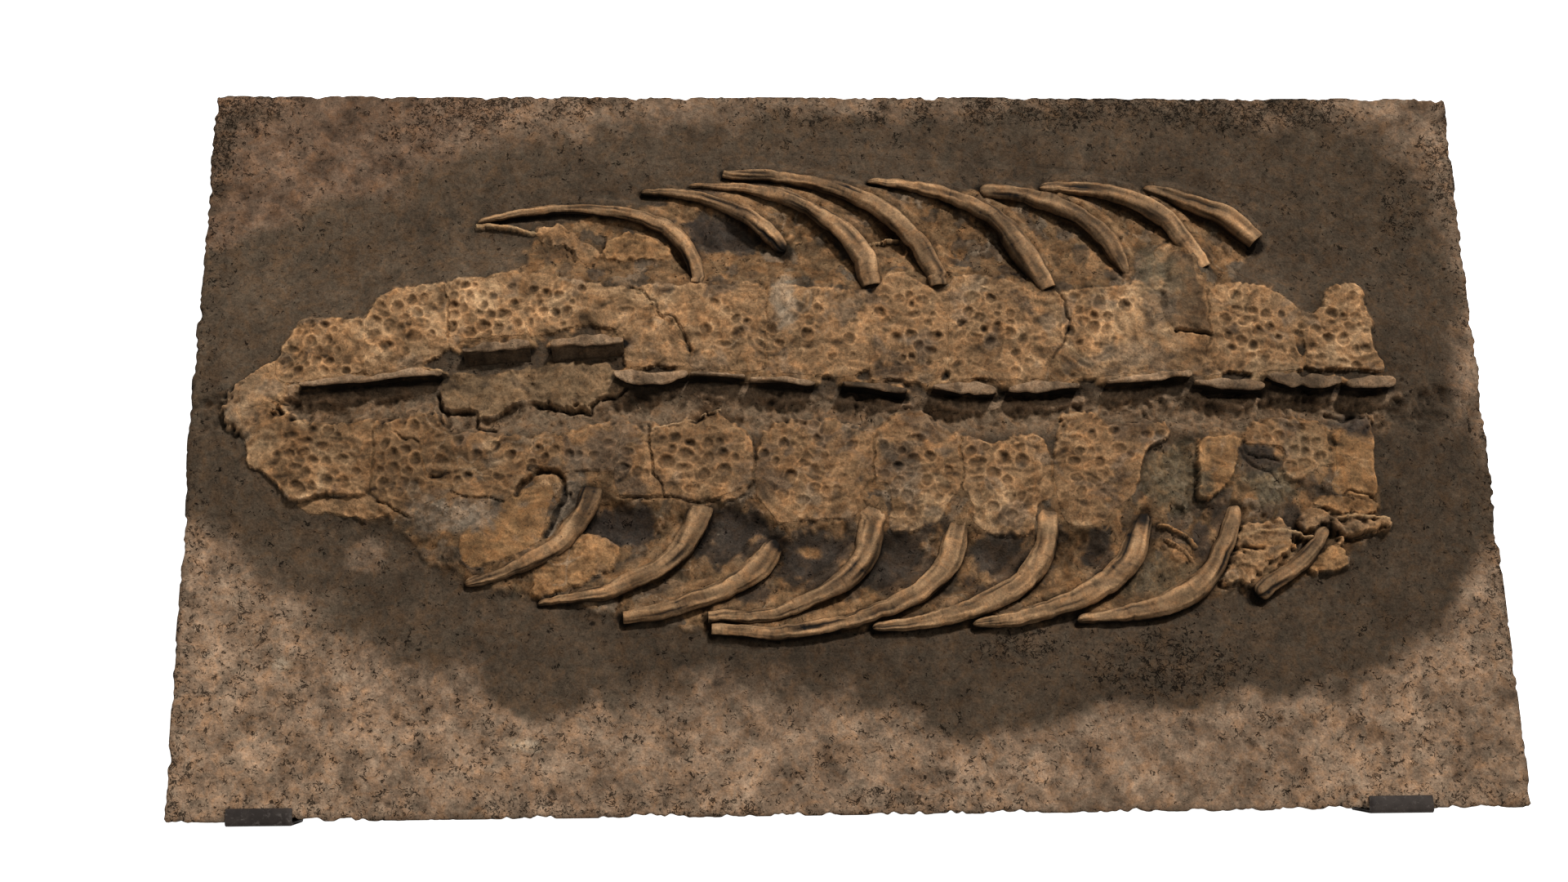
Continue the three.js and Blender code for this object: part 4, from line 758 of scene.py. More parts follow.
# Palette in linear light
palette = {
    "bone": (0.250, 0.140, 0.066),
    "lowerBone": (0.200, 0.110, 0.051),
    "paleBone": (0.300, 0.185, 0.093),
    "archBone": (0.160, 0.098, 0.050),
    "orangeBone": (0.240, 0.126, 0.053),
    "brownBone": (0.130, 0.074, 0.036),
    "greyBone": (0.130, 0.095, 0.064),
    "darkPatch": (0.066, 0.046, 0.031),
    "lightPatch": (0.350, 0.222, 0.118),
    "ribBone": (0.255, 0.147, 0.072),
    "ribDark": (0.100, 0.058, 0.031),
    "umber": (0.085, 0.050, 0.026),
    "spineBone": (0.178, 0.113, 0.065),
    "matrixDark": (0.072, 0.049, 0.031),
    "matrixPale": (0.240, 0.157, 0.100),
    "matrixRed": (0.150, 0.090, 0.056),
    "trough": (0.210, 0.133, 0.077),
    "greyCrystal": (0.200, 0.144, 0.097),
    "oliveGrey": (0.140, 0.104, 0.062),
    "blueBlack": (0.048, 0.036, 0.028),
    "white": (0.450, 0.340, 0.230),
}
palette = {name: np.array(colour) for name, colour in palette.items()}

# The edge of the smooth dark ground round the bones; the stone beyond it is pale and pocked
groundOutline = [
    (190, 600), (200, 420), (235, 310), (330, 268), (430, 232), (520, 195), (640, 162), (740, 142),
    (820, 130), (1000, 126), (1400, 126), (1600, 130), (1700, 142), (1748, 200), (1775, 300), (1800, 450),
    (1815, 650), (1770, 770), (1600, 830), (1500, 850), (1300, 880), (900, 872), (600, 850), (450, 780),
    (300, 690),
]

# Patches of colour as (u, v, radius along, radius across, colour, strength); the blueBlack ones lie on the
# hollows of the ground and darken them
stains = [
    (562, 634, 48, 22, "greyCrystal", 0.9), (1438, 582, 34, 42, "oliveGrey", 0.8),
    (1556, 596, 34, 24, "oliveGrey", 0.8), (1412, 335, 20, 28, "oliveGrey", 0.75),
    (767, 646, 46, 22, "blueBlack", 0.9), (900, 655, 40, 36, "blueBlack", 0.8),
    (1005, 678, 42, 38, "blueBlack", 0.75), (884, 284, 56, 30, "blueBlack", 0.85),
    (1112, 688, 44, 34, "blueBlack", 0.6), (1222, 690, 46, 34, "blueBlack", 0.6),
    (918, 724, 26, 12, "blueBlack", 0.5), (1420, 705, 44, 24, "oliveGrey", 0.5),
    (1472, 662, 11, 22, "blueBlack", 0.7), (993, 676, 14, 7, "orangeBone", 0.7),
    (1302, 704, 24, 12, "bone", 0.5), (640, 910, 20, 8, "white", 0.6), (343, 811, 10, 7, "white", 0.5),
    (449, 676, 24, 20, "matrixPale", 0.6), (1544, 566, 26, 18, "blueBlack", 0.7),
    (1348, 680, 20, 24, "blueBlack", 0.6), (657, 262, 34, 7, "blueBlack", 0.9),
    (700, 305, 40, 16, "matrixDark", 0.5), (1430, 345, 26, 34, "oliveGrey", 0.5),
    (960, 375, 14, 34, "white", 0.5), (1380, 440, 50, 16, "greyBone", 0.5),
    (1420, 380, 22, 30, "greyBone", 0.5), (860, 560, 62, 48, "brownBone", 0.6),
    (470, 560, 100, 56, "brownBone", 0.28), (1596, 556, 28, 34, "paleBone", 0.5),
    (300, 492, 26, 50, "greyBone", 0.35), (266, 190, 20, 74, "matrixDark", 0.6),
    (300, 140, 40, 16, "matrixDark", 0.5), (1500, 650, 14, 34, "blueBlack", 0.6),
    (1650, 520, 22, 14, "blueBlack", 0.8), (870, 235, 40, 8, "blueBlack", 0.5),
    (1585, 640, 12, 40, "blueBlack", 0.5), (1640, 640, 36, 10, "darkPatch", 0.5),
    (705, 600, 14, 34, "greyBone", 0.6),
]

pockedPatches = [
    (1430, 815, 110, 46), (1540, 140, 150, 24), (1712, 250, 26, 80), (1250, 790, 60, 24),
    (440, 150, 110, 30), (700, 132, 200, 18), (1100, 140, 260, 18),
]

groundDepth = insideDepth(fromView(groundOutline), gridX, gridY)
paleShare = 1 - smooth(groundDepth + 8 * drift + 5 * flake, -15, 12)
bedWest, bedEast = fromView([bed["from"], bed["to"]])
fromTrough = gridY - bed["troughPlace"]


def matrixHeights():
    # the ground: a bed that falls away from the row of spines, a shallow trough, hollows and mounds
    away = np.hypot(gridX - np.clip(gridX, bedWest[0], bedEast[0]), gridY - bedWest[1]) + 3.5 * drift
    offBed = smooth(away, bed["halfWidth"], bed["halfWidth"] + bed["slope"])
    offTrough = smooth(np.abs(fromTrough) + 1.6 * crag, bed["troughFloor"], bed["troughBank"])
    height = (bed["rise"] - bed["troughDepth"] * (1 - offTrough)) * (1 - offBed)
    height = np.maximum(height, apron * smooth(np.abs(fromTrough), 14, 26)) + cage
    for *blob, rise in matrixRelief:
        height += rise * (1 - smooth(blobReach(*blob) + 0.10 * crag, 0.4, 1.35))
    for *blob, rise in columns:
        height += rise * (1 - smooth(blobReach(*blob, 5) + 0.16 * crag, 0.3, 1.2)) * (1 - offTrough)
    inTrough = (1 - offTrough) * (1 - offBed)
    rippled = 0.16 + 1.10 * inTrough + 0.36 * paleShare
    return height + 0.4 * swell + rippled * crag + 0.45 * inTrough * ridged + 0.06 * grain


pockShape = {"seed": 77, "tries": 5200, "smallest": 0.6, "growth": 1.4, "depth": 0.95}


def cutPocks(height, share):
    # small pocks of weathered stone
    draw = np.random.default_rng(pockShape["seed"])
    lowest, highest = (-399, -230, 0, 0, 0.7, -1.2), (399, 232, 1, 1, 1.5, 0.9)
    for n in range(pockShape["tries"]):
        x, y, size, chance, stretch, turn = draw.uniform(lowest, highest)
        if chance > sample(share, x, y):
            continue
        radius = pockShape["smallest"] + pockShape["growth"] * size ** 3
        window = windowOf(np.array([[x, y]]), 2.8 * radius)
        nearX, nearY = gridX[window] - x, gridY[window] - y
        along = nearY * math.cos(turn) + nearX * math.sin(turn)
        across = nearX * math.cos(turn) - nearY * math.sin(turn)
        q = np.hypot(across * stretch, along / stretch) / radius
        q = q + 0.45 * warpX[window] + 0.40 * crag[window]
        height[window] -= radius * pockShape["depth"] * (1 - smooth(q, 0.3, 1.1))


def carveCracks():
    carved = np.zeros(gridX.shape)
    for width, depth, line in cracks:
        path = smoothLine(fromView(line, 9), 1.2)
        path = path + 1.3 * warpAt(path)
        window = windowOf(path, 4)
        away = lineDistance(path, gridX[window], gridY[window])[0]
        cut = depth * (1 - smooth(away, 0.2 * width, 1.3 * width))
        carved[window] = np.maximum(carved[window], cut)
    return carved


def flakes(size, seed):
    # broken flakes: distance to the flake's own edge, and two draws that belong to the flake
    draw = np.random.default_rng(seed)
    shiftX, shiftY = gridX + 1.6 * warpX + 1.2 * crag, gridY + 1.6 * warpY + 1.2 * ridged
    column = np.floor((shiftX - sheet["left"]) / size).astype(int) + 4
    row = np.floor((shiftY - sheet["low"]) / size).astype(int) + 4
    shape = (row.max() + 6, column.max() + 6)
    placeX, placeY = draw.uniform(0.05, 0.95, (2, *shape))
    drawA, drawB = draw.uniform(-1, 1, (2, *shape))
    nearest, second = np.full((2, *gridX.shape), np.inf)
    firstDraw, secondDraw = np.zeros((2, *gridX.shape))
    for down in (-1, 0, 1):
        for along in (-1, 0, 1):
            i, j = row + down, column + along
            awayX = shiftX - (sheet["left"] + (j - 4 + placeX[i, j]) * size)
            awayY = shiftY - (sheet["low"] + (i - 4 + placeY[i, j]) * size)
            away = np.hypot(awayX * (1 + 0.3 * drawA[i, j]), awayY * (1 - 0.3 * drawA[i, j]))
            closer = away < nearest
            second = np.where(closer, nearest, np.minimum(second, away))
            nearest = np.where(closer, away, nearest)
            firstDraw = np.where(closer, drawA[i, j], firstDraw)
            secondDraw = np.where(closer, drawB[i, j], secondDraw)
    return second - nearest, firstDraw, secondDraw


def ribLine(stations, step=2.0):
    # x, y, width and rise along a rib's middle line
    points = [[*fromView((u, v), rise), width, rise] for u, v, width, rise in stations]
    line = smoothLine(points, step)
    line[:, 0] += 0.5 * sample(warpX, line[:, 0], line[:, 1])
    line[:, 1] += 0.5 * sample(warpY, line[:, 0], line[:, 1])
    return line


def spineLine(spine, step=2.0):
    # x, y and width along the middle of a spine's table
    points = [[*fromView((u, v), spineRise), width] for u, v, width in spine["table"]]
    return smoothLine(points, step)


def alongLine(line, margin):
    # the window round a line, and there the distance to it and its other values
    window = windowOf(line[:, :2], margin)
    away, place, _ = lineDistance(line, gridX[window], gridY[window])
    place = place * (len(line) - 1)
    return window, away, *[np.interp(place, np.arange(len(line)), values) for values in line.T[2:]]


carved = carveCracks()

# Where the sheets of bone lie, and the level, roughness and colour that they share over their seams
bonePlaces = []
crustMask, crustLevel, crustRough = np.zeros((3, *gridX.shape))
crustTint = np.zeros((*gridX.shape, 3))


def addCrust(window, share, level, rough, tint):
    crustMask[window] += share
    crustLevel[window] += share * level
    crustRough[window] += share * rough
    crustTint[window] += share[..., None] * palette[tint]


def crowned(bone, window):
    # the level of a sheet of bone, highest at its middle
    away = np.hypot(gridX[window] - bone["middle"][0], gridY[window] - bone["middle"][1]) / bone["reach"]
    return bone["rise"] + bone["crown"] * (1 - away ** 2)


for bone in plates:
    window = windowOf(bone["loop"], 4)
    depth = insideDepth(bone["loop"], gridX[window], gridY[window])
    bonePlaces.append((window, depth))
    if bone["kind"] == "crust":
        addCrust(window, smooth(depth, -0.4, 0.4), crowned(bone, window), bone["rough"], bone["tint"])
# the crust reaches the spines from the north
for spine in spines:
    line = spineLine(spine)
    window, away, width = alongLine(line, 9)
    north = gridY[window] > np.interp(gridX[window], line[:, 0], line[:, 1])
    addCrust(window, north * (1 - smooth(away, 5, 8)), 10.7, 0.8, "bone")
crustBlur = {"level": 3.2, "tint": 1.6, "sharpEdge": 2.6, "softEdge": 4.8, "apron": 12.0}
weight = blur(crustMask, crustBlur["level"]) + 1e-6
crustLevel, crustRough = (blur(field, crustBlur["level"]) / weight for field in (crustLevel, crustRough))
weight = blur(crustMask, crustBlur["tint"]) + 1e-6
crustTint = np.stack([blur(crustTint[..., n], crustBlur["tint"]) / weight for n in range(3)], -1)
crustMask = np.minimum(crustMask, 1)

# The ground reaches nearly up to the plates, and is littered with broken bone among the ribs
cageDepth = np.maximum(*[insideDepth(fromView(outline, 4), gridX, gridY) for outline in cages])
cage = 1.2 * smooth(cageDepth + 1.2 * crag, -0.5, 2.5)
apronHeight = mix(6.5, 9.0, np.maximum(smooth(cageDepth, -12, 6), smooth(gridY, 20, 60)))
apron = apronHeight * smooth(blur(crustMask, crustBlur["apron"]), 0.0, 0.45) ** 0.6
matrix = matrixHeights()
rimAway = rimDistance(gridX, gridY)
pockShare = 0.02 + 0.28 * paleShare + 0.65 * (1 - smooth(rimAway, 4, 40)) * smooth(gridY, 120, 200)
pockShare = pockShare + 0.3 * (1 - smooth(rimAway, 3, 20))
for blob in pockedPatches:
    pockShare += 0.7 * (1 - smooth(blobReach(*blob), 0.4, 1.2))
pockShare = np.clip(pockShare, 0, 1) * smooth(drift + 1.8, 0, 1.6) * (1 - smooth(cageDepth, -4, 2))
cutPocks(matrix, pockShare)

# The crust's edge is sharp to the south, and soft to the trough and, on the upper plates, to the north
aboveSpine = smooth(fromTrough, -1, 1) * smooth(fromTrough, 34, 46)
softEdge = np.clip(smooth(30 - np.abs(fromTrough), 8, 18) + 0.55 * aboveSpine, 0, 1)
ragged = 0.05 * crag + 0.035 * ridged
sharpCrust = smooth(blur(crustMask, crustBlur["sharpEdge"]) + ragged, 0.50, 0.68)
softCrust = smooth(blur(crustMask, crustBlur["softEdge"]) + 1.5 * ragged, 0.34, 0.78)
crust = mix(sharpCrust, softCrust, softEdge)

pitShape = {"seed": 88, "spread": 1.12, "depth": 0.60, "least": 0.8, "most": 2.0, "faint": 0.9}


def pitFields():
    # bowls in the plates, and the thin rims between them
    dip, lip = np.zeros((2, *gridX.shape))
    draw = np.random.default_rng(pitShape["seed"])
    for bone in plates:
        low, high = bone["loop"].min(0), bone["loop"].max(0)
        holes = [(*hole, draw.uniform(0.75, 1.2)) for hole in bone["holes"]]
        # fainter ones that weathering has almost closed
        for n in range(int(len(holes) * pitShape["faint"])):
            x, y = draw.uniform(low + 3, high - 3)
            size = draw.uniform(1.8, 3.2)
            if all(np.hypot(x - hole[0], y - hole[1]) > size + 0.9 * hole[2] for hole in holes):
                holes.append((x, y, size, size * draw.uniform(0.7, 1.0), draw.uniform(0.2, 0.55)))
        for x, y, along, across, strength in holes:
            window = windowOf(np.array([[x, y]]), 1.8 * pitShape["spread"] * max(along, across))
            nearX, nearY = gridX[window] + 0.8 * warpX[window], gridY[window] + 0.8 * warpY[window]
            q = np.hypot((nearX - x) / (pitShape["spread"] * along),
                         (nearY - y) / (pitShape["spread"] * across))
            depth = pitShape["depth"] * min(along, across)
            deep = strength * np.clip(depth, pitShape["least"], pitShape["most"])
            lean = np.clip((nearY - y) / across, -1, 1)
            bowl = deep * np.clip(1 - np.clip(q, 0, 1) ** 2.1, 0, 1) * (1 + 0.55 * lean)
            ring = min(strength, 1) * np.exp(-((q - 1.12) / 0.16) ** 2)
            dip[window] = np.maximum(dip[window], bowl)
            lip[window] = np.maximum(lip[window], ring)
    return dip, lip * (dip < 0.12)


pitDip, pitLip = pitFields()
worn = 0.36 * crag + 0.26 * ridged + 0.12 * fineRidged + 0.06 * grain
crustTop = crustLevel + crustRough * worn - pitDip + 0.26 * pitLip + 0.4 * swell

# Litter of bone flakes on the ground between the ribs
dark = np.zeros(gridX.shape)
for *blob, colour, strength in stains:
    if colour == "blueBlack":
        dark = np.maximum(dark, strength * (1 - smooth(blobReach(*blob, 4) + 0.22 * crag, 0.75, 1.15)))
litterZone = smooth(cageDepth + 1.5 * crag + 1.5 * flake, -1, 4) * (1 - crust) * (1 - smooth(dark, 0.15, 0.6))
flakeEdge, flakeLift, flakeTone = flakes(8.5, 71)
chipEdge, chipLift, chipTone = flakes(3.6, 72)
litter = 0.85 * flakeLift * smooth(flakeEdge, 0.1, 1.0) - 0.55 * (1 - smooth(flakeEdge, 0.0, 0.9))
litter += 0.30 * chipLift * smooth(chipEdge, 0.0, 0.6) + 0.28 * crag + 0.16 * ridged
matrix = matrix + litterZone * litter

# The relief without ribs and spines, which every sheet follows, so that their seams don't show
relief = mix(matrix, np.maximum(crustTop, matrix), crust)
for bone, (window, depth) in zip(plates, bonePlaces):
    if bone["kind"] == "crust":
        continue
    near = relief[window]
    top = crowned(bone, window) + 1.2 * bone["rough"] * worn[window]
    if bone["kind"] == "fragment":
        top = top + 0.3 * flakeLift[window]
        share = smooth(depth + (0.9 * crag + 0.6 * ridged)[window], -0.3, bone["soft"])
    else:
        share = smooth(depth + 0.9 * crag[window], -0.5, 3.0)
    relief[window] = mix(near, np.maximum(near, top), share)

sliverTints = []
for tint, width, rise, line in slivers:
    path = smoothLine([[*fromView((u, v), rise), width] for u, v in line], 1.0)
    path[:, :2] += 0.7 * warpAt(path[:, :2])
    window, away, across = alongLine(path, width)
    away = away + 0.3 * np.abs(crag + 0.6 * ridged)[window]
    arched = np.sqrt(np.clip(1 - (away / (across / 2)) ** 2, 0, 1))
    top = rise - 0.5 + (0.38 * across) * (arched - 1) + 0.25 * crag[window]
    relief[window] = np.where(arched > 0, np.maximum(relief[window], top), relief[window])
    sliverTints.append((tint, window, smooth(arched, 0.05, 0.5)))
relief -= carved

# Ground heaped against the north side of the ribs, black gap left on the south side
heaped = np.zeros(gridX.shape)
for rib in upperRibs + lowerRibs:
    line = ribLine(rib["line"])
    normal = acrossLine(line)[1]
    normal *= np.where(normal[:, 1:] < 0, -1, 1)
    order = np.arange(len(line))
    north = np.column_stack([line, 2.0 * np.minimum(order, order[::-1])])
    north[:, :2] += normal * line[:, 2:3] * 0.35
    window, away, width, rise, ends = alongLine(north, 14)
    heap = np.clip(rise - 0.24 * width - 0.40 * away, -9, 30) + 0.35 * crag[window]
    raised = np.clip(heap - relief[window], 0, 4) * (1 - smooth(away, 6, 12)) * (1 - crust[window])
    raised *= smooth(ends, 0, 5) * smooth(width, 3, 8)
    relief[window] += raised
    heaped[window] = np.maximum(heaped[window], smooth(raised, 0.2, 1.6))
    south = line.copy()
    south[:, :2] -= normal * line[:, 2:3] * 0.62
    window, away, width, rise = alongLine(south, 6)
    relief[window] -= 1.3 * (1 - smooth(away, 0.3, 0.30 * width + 1.2))
print("relief made, from", round(float(relief.min()), 1), "to", round(float(relief.max()), 1))

# Under the sheets of bone the bed sinks out of the way
sunk = relief.copy()
for window, depth in bonePlaces:
    drop = 0.12 * smooth(depth, 0.0, 0.4) + 6 * smooth(depth, 1.3, 2.6)
    sunk[window] = np.minimum(sunk[window], relief[window] - drop)

# With ribs and spines in it, the relief tells where hollows and ridges are, for the painted shade in hollows;
# pits count only in part towards it
full = relief + 0.40 * pitDip * crust
for rib in upperRibs + lowerRibs:
    window, away, width, rise = alongLine(ribLine(rib["line"]), 9)
    half = width / 2
    bulge = 0.8 * half * (1 - np.sqrt(np.clip(1 - (away / half) ** 2, 0, 1)))
    full[window] = np.where(away < half, np.maximum(full[window], rise - bulge), full[window])
for spine in spines:
    window, away, width = alongLine(spineLine(spine), 8)
    full[window] = np.where(away < width / 2, np.maximum(full[window], spineRise), full[window])
nearBlur, wideBlur = blur(full, 1.2), blur(full, 4.5)
pitShare = 0.12 * pitDip * crust


# Colours of every sheet, one value per cell
def paint(base, colour, share):
    return mix(base, colour, share[..., None])


def toneAndLight(colour, light):
    return colour * light[..., None]


def sheetColours():
    # painted light: the dark ground is painted lighter to the north-west and darker to the south-east
    paintedLightFall = 1 + 0.17 * np.clip(gridY / 190, -1, 1) - 0.14 * np.clip(gridX / 370, -1, 1)
    ground = paint(toneAndLight(palette["matrixDark"], paintedLightFall), palette["matrixPale"], paleShare)
    red = smooth(-gridX, 150, 260) * smooth(gridY, 60, 140) * paleShare
    ground = paint(ground, palette["matrixRed"], 0.8 * red)
    mottled = 1 + 0.08 * drift + (0.05 + 0.06 * paleShare) * flake + (0.07 + 0.07 * paleShare) * crag
    ground = toneAndLight(ground, mottled + 0.05 * grain)
    # litter between the ribs: flakes of bone, brown, grey and dark
    tan = paint(palette["brownBone"], palette["lowerBone"], smooth(flakeTone, -0.5, 0.9))
    tan = paint(tan, palette["greyBone"], 0.8 * smooth(flakeLift * flakeTone, 0.15, 0.5))
    tan = paint(tan, palette["darkPatch"], 0.75 * smooth(-flakeTone, 0.45, 0.8))
    tan = toneAndLight(tan, 1 + 0.26 * chipTone + 0.14 * crag + 0.12 * streak)
    ground = paint(ground, tan, 0.9 * litterZone)
    # the trough between the spines, and ground heaped against the ribs
    alongTrough = smooth(gridX, bedWest[0] - 10, bedWest[0] + 25)
    alongTrough = alongTrough * (1 - smooth(gridX, bedEast[0] + 5, bedEast[0] + 25))
    middle = (1 - smooth(np.abs(fromTrough + 3), 6, 17)) * alongTrough
    ground = paint(ground, palette["trough"], 0.7 * middle)
    heapTint = toneAndLight(palette["lowerBone"], 1 + 0.3 * streak + 0.15 * crag)
    ground = paint(ground, heapTint, 0.5 * heaped * smooth(cageDepth, 2, 6))
    # the plates
    bone = toneAndLight(crustTint, 1 + 0.10 * drift)
    bone = paint(bone, palette["darkPatch"], 0.70 * smooth(patch + 0.25 * streak, 0.8, 1.9))
    bone = paint(bone, palette["lightPatch"], 0.45 * smooth(-patch + 0.3 * streak, 0.7, 1.9))
    bone = paint(bone, palette["greyBone"], 0.5 * smooth(flake, 0.9, 1.8))
    bone = toneAndLight(bone, 1 + 0.20 * streak + 0.12 * crag + 0.08 * ridged + 0.34 * pitLip)
    ground = paint(ground, bone, smooth(crust, 0.05, 0.6))
    # fragments, arches, stains and slivers
    for piece, (window, depth) in zip(plates, bonePlaces):
        if piece["kind"] != "crust":
            worked = toneAndLight(palette[piece["tint"]], (1 + 0.20 * streak + 0.14 * crag)[window])
            worked = paint(worked, palette["darkPatch"], 0.5 * smooth(patch, 0.8, 1.6)[window])
            share = smooth(depth, -0.2, 0.8) * (0.9 if piece["kind"] == "fragment" else 0.45)
            ground[window] = paint(ground[window], worked, share)
    stainTone = 1 + 0.17 * crag + 0.13 * streak
    for *blob, colour, strength in stains:
        reach = blobReach(*blob, 4) + 0.20 * crag + 0.08 * ridged
        ground = paint(ground, toneAndLight(palette[colour], stainTone), strength * (1 - smooth(reach, 0.6, 1.25)))
    for tint, window, share in sliverTints:
        ground[window] = paint(ground[window], palette[tint], 0.85 * share)
    # whitish veins in the crust and the litter
    ground = paint(ground, palette["white"], 0.45 * veins * np.maximum(0.5 * crust, litterZone))
    return np.clip(ground, 0.010, 0.9)


ground = sheetColours()
print("colours made")


def groundTint(x, y):
    return np.stack([sample(ground[..., channel], x, y) for channel in range(3)], 1)


def boneTint(name, x, y):
    base = palette[name] * (1 + 0.10 * sample(drift, x, y) + 0.07 * sample(crag, x, y))[:, None]
    return mix(base, palette["brownBone"], 0.45 * smooth(sample(patch, x, y), 0.6, 1.6)[:, None])


# Meshes
def addObject(name, data):
    thing = bpy.data.objects.new(name, data)
    bpy.context.scene.collection.objects.link(thing)
    return thing


def makePiece(name, points, triangles, tint, material, slot, sharpPairs=None):
    # points in millimetres, with height above the slab's face
    mesh = bpy.data.meshes.new(name)
    mesh.vertices.add(len(points))
    mesh.vertices.foreach_set("co", ((points + (0, 0, faceLevel)) * metre).ravel())
    mesh.loops.add(3 * len(triangles))
    mesh.loops.foreach_set("vertex_index", triangles.ravel().astype(np.int32))
    mesh.polygons.add(len(triangles))
    mesh.polygons.foreach_set("loop_start", np.arange(0, 3 * len(triangles), 3, dtype=np.int32))
    mesh.update(calc_edges=True)
    mesh.polygons.foreach_set("use_smooth", np.ones(len(triangles), bool))
    if sharpPairs is not None:
        pairs = np.empty(2 * len(mesh.edges), np.int32)
        mesh.edges.foreach_get("vertices", pairs)
        pairs = np.sort(pairs.reshape(-1, 2), 1).astype(np.int64)
        wanted = np.sort(np.asarray(sharpPairs), 1).astype(np.int64)
        sharp = np.isin(pairs @ (len(points), 1), wanted @ (len(points), 1))
        mesh.attributes.new("sharp_edge", "BOOLEAN", "EDGE").data.foreach_set("value", sharp)
    x, y, z = points.T
    # painted shade: hollowShade darkens places that lie below their surroundings; ridge marks places that
    # stand above them
    around, eased = sample(nearBlur, x, y), z + sample(pitShare, x, y)
    hollowShade = np.clip(0.48 * (around - eased) + 0.08 * (sample(wideBlur, x, y) - eased), 0, 1)
    ridge = np.clip(0.9 * (z - around), 0, 1)
    pocked = sample(pockShare, x, y) * smooth(z, -4, -2) if slot == "matrix" else 0 * z
    for key, values in (("hollowShade", hollowShade), ("ridge", ridge), ("pocked", pocked)):
        mesh.attributes.new(key, "FLOAT", "POINT").data.foreach_set("value", values.astype(np.float32))
    colour = np.ones((len(points), 4), np.float32)
    colour[:, :3] = np.clip(tint, 0.004, 1)
    mesh.attributes.new("tint", "FLOAT_COLOR", "POINT").data.foreach_set("color", colour.ravel())
    mesh.materials.append(material)
    piece = addObject(name, mesh)
    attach(piece, "root")
    return piece


def hexPoints(low, high, spacing, seed):
    # an even triangle pattern of points over a box, slightly shaken
    rows = np.arange(low[1], high[1], spacing * 0.866)
    columns = np.arange(low[0], high[0], spacing)
    x = columns[None, :] + np.where(np.arange(len(rows)) % 2, spacing / 2, 0)[:, None]
    y = np.repeat(rows[:, None], len(columns), 1)
    points = np.stack([x.ravel(), y.ravel()], 1)
    return points + np.random.default_rng(seed).uniform(-0.14, 0.14, points.shape) * spacing


def triangulate(points, loop, lines=()):
    # triangles inside the closed loop, which is a list of point numbers
    corners = [Vector(p) for p in points.tolist()]
    flat, _, faces, *_ = delaunay_2d_cdt(corners, list(lines), [list(loop)], 1, 1e-7)
    return np.array([p[:] for p in flat]), np.array(faces, int)


def borderOf(triangles):
    # the directed edges that only one triangle has
    edges = np.concatenate([triangles[:, [0, 1]], triangles[:, [1, 2]], triangles[:, [2, 0]]])
    codes = np.sort(edges, 1) @ (triangles.max() + 1, 1)
    _, first, count = np.unique(codes, return_index=True, return_counts=True)
    return edges[first[count == 1]]


def chain(border):
    # the longest loop of directed edges, as point numbers
    following = dict(border.tolist())
    loops = []
    while following:
        start = next(iter(following))
        loop = [start]
        while following.get(loop[-1]) is not None:
            after = following.pop(loop[-1])
            if after == start:
                break
            loop.append(after)
        loops.append(loop)
    return max(loops, key=len)


def turnUp(points, triangles):
    a, b, c = (points[triangles[:, n], :2] for n in range(3))
    down = np.cross(b - a, c - a) < 0
    triangles[down] = triangles[down][:, ::-1]
    return triangles


def closedSheet(flat, triangles, topZ, footZ, rows=4, undercut=0.35, wobble=0.3):
    # a sheet's top, its wall of several rows that draws in by undercut, and its flat foot
    triangles = turnUp(flat, triangles)
    loop = np.array(chain(borderOf(triangles)))
    rim = flat[loop]
    outward = outwardOf(rim)
    points, faces = [np.column_stack([flat, topZ])], [triangles]
    above, count = loop, len(flat)
    for row in range(1, rows + 1):
        share = row / rows
        z = mix(topZ[loop], footZ[loop], share)
        bend = wobble * sample(crag, rim[:, 0] + 2.3 * z, rim[:, 1] + 3.7 * z) * np.sin(np.pi * share)
        place = rim + outward * (bend - undercut * smooth(share, 0, 0.6))[:, None]
        points.append(np.column_stack([place, z]))
        below = count + np.arange(len(loop))
        nextAbove, nextBelow = np.roll(above, -1), np.roll(below, -1)
        faces += [np.stack([above, below, nextBelow], 1), np.stack([above, nextBelow, nextAbove], 1)]
        above, count = below, count + len(loop)
    footFlat, footFaces = triangulate(points[-1][:, :2], range(len(loop)))
    if len(footFlat) == len(loop):
        faces.append(above[turnUp(footFlat, footFaces)][:, ::-1])
    return np.concatenate(points), np.concatenate(faces)


def insetRing(loop, distance):
    ring = loop - outwardOf(loop) * distance
    return ring[insideDepth(loop, *ring.T) > 0.82 * distance]


# Finishes
def plug(tree, value, socket):
    if isinstance(value, bpy.types.NodeSocket):
        tree.links.new(value, socket)
    else:
        socket.default_value = value


def feed(tree, node, **inputs):
    for key, value in inputs.items():
        plug(tree, value, node.inputs[key.replace("_", " ")])
    return node


def calc(tree, operation, a, b=0.0):
    node = tree.nodes.new("ShaderNodeMath")
    node.operation = operation
    plug(tree, a, node.inputs[0])
    plug(tree, b, node.inputs[1])
    return node.outputs[0]


def spread(tree, value, low, high, to=(0.0, 1.0)):
    node = feed(tree, tree.nodes.new("ShaderNodeMapRange"), Value=value, From_Min=low, From_Max=high,
                To_Min=to[0], To_Max=to[1])
    return node.outputs["Result"]


def noiseOf(tree, place, scale, detail=3.0, roughness=0.6, distortion=0.0):
    node = feed(tree, tree.nodes.new("ShaderNodeTexNoise"), Vector=place, Scale=scale, Detail=detail,
                Roughness=roughness, Distortion=distortion)
    return node.outputs["Fac"]


def blendColour(tree, share, a, b, kind="MIX"):
    node = tree.nodes.new("ShaderNodeMix")
    node.data_type = "RGBA"
    node.blend_type = kind
    for number, value in ((0, share), (6, a), (7, b)):
        plug(tree, value, node.inputs[number])
    return node.outputs[2]


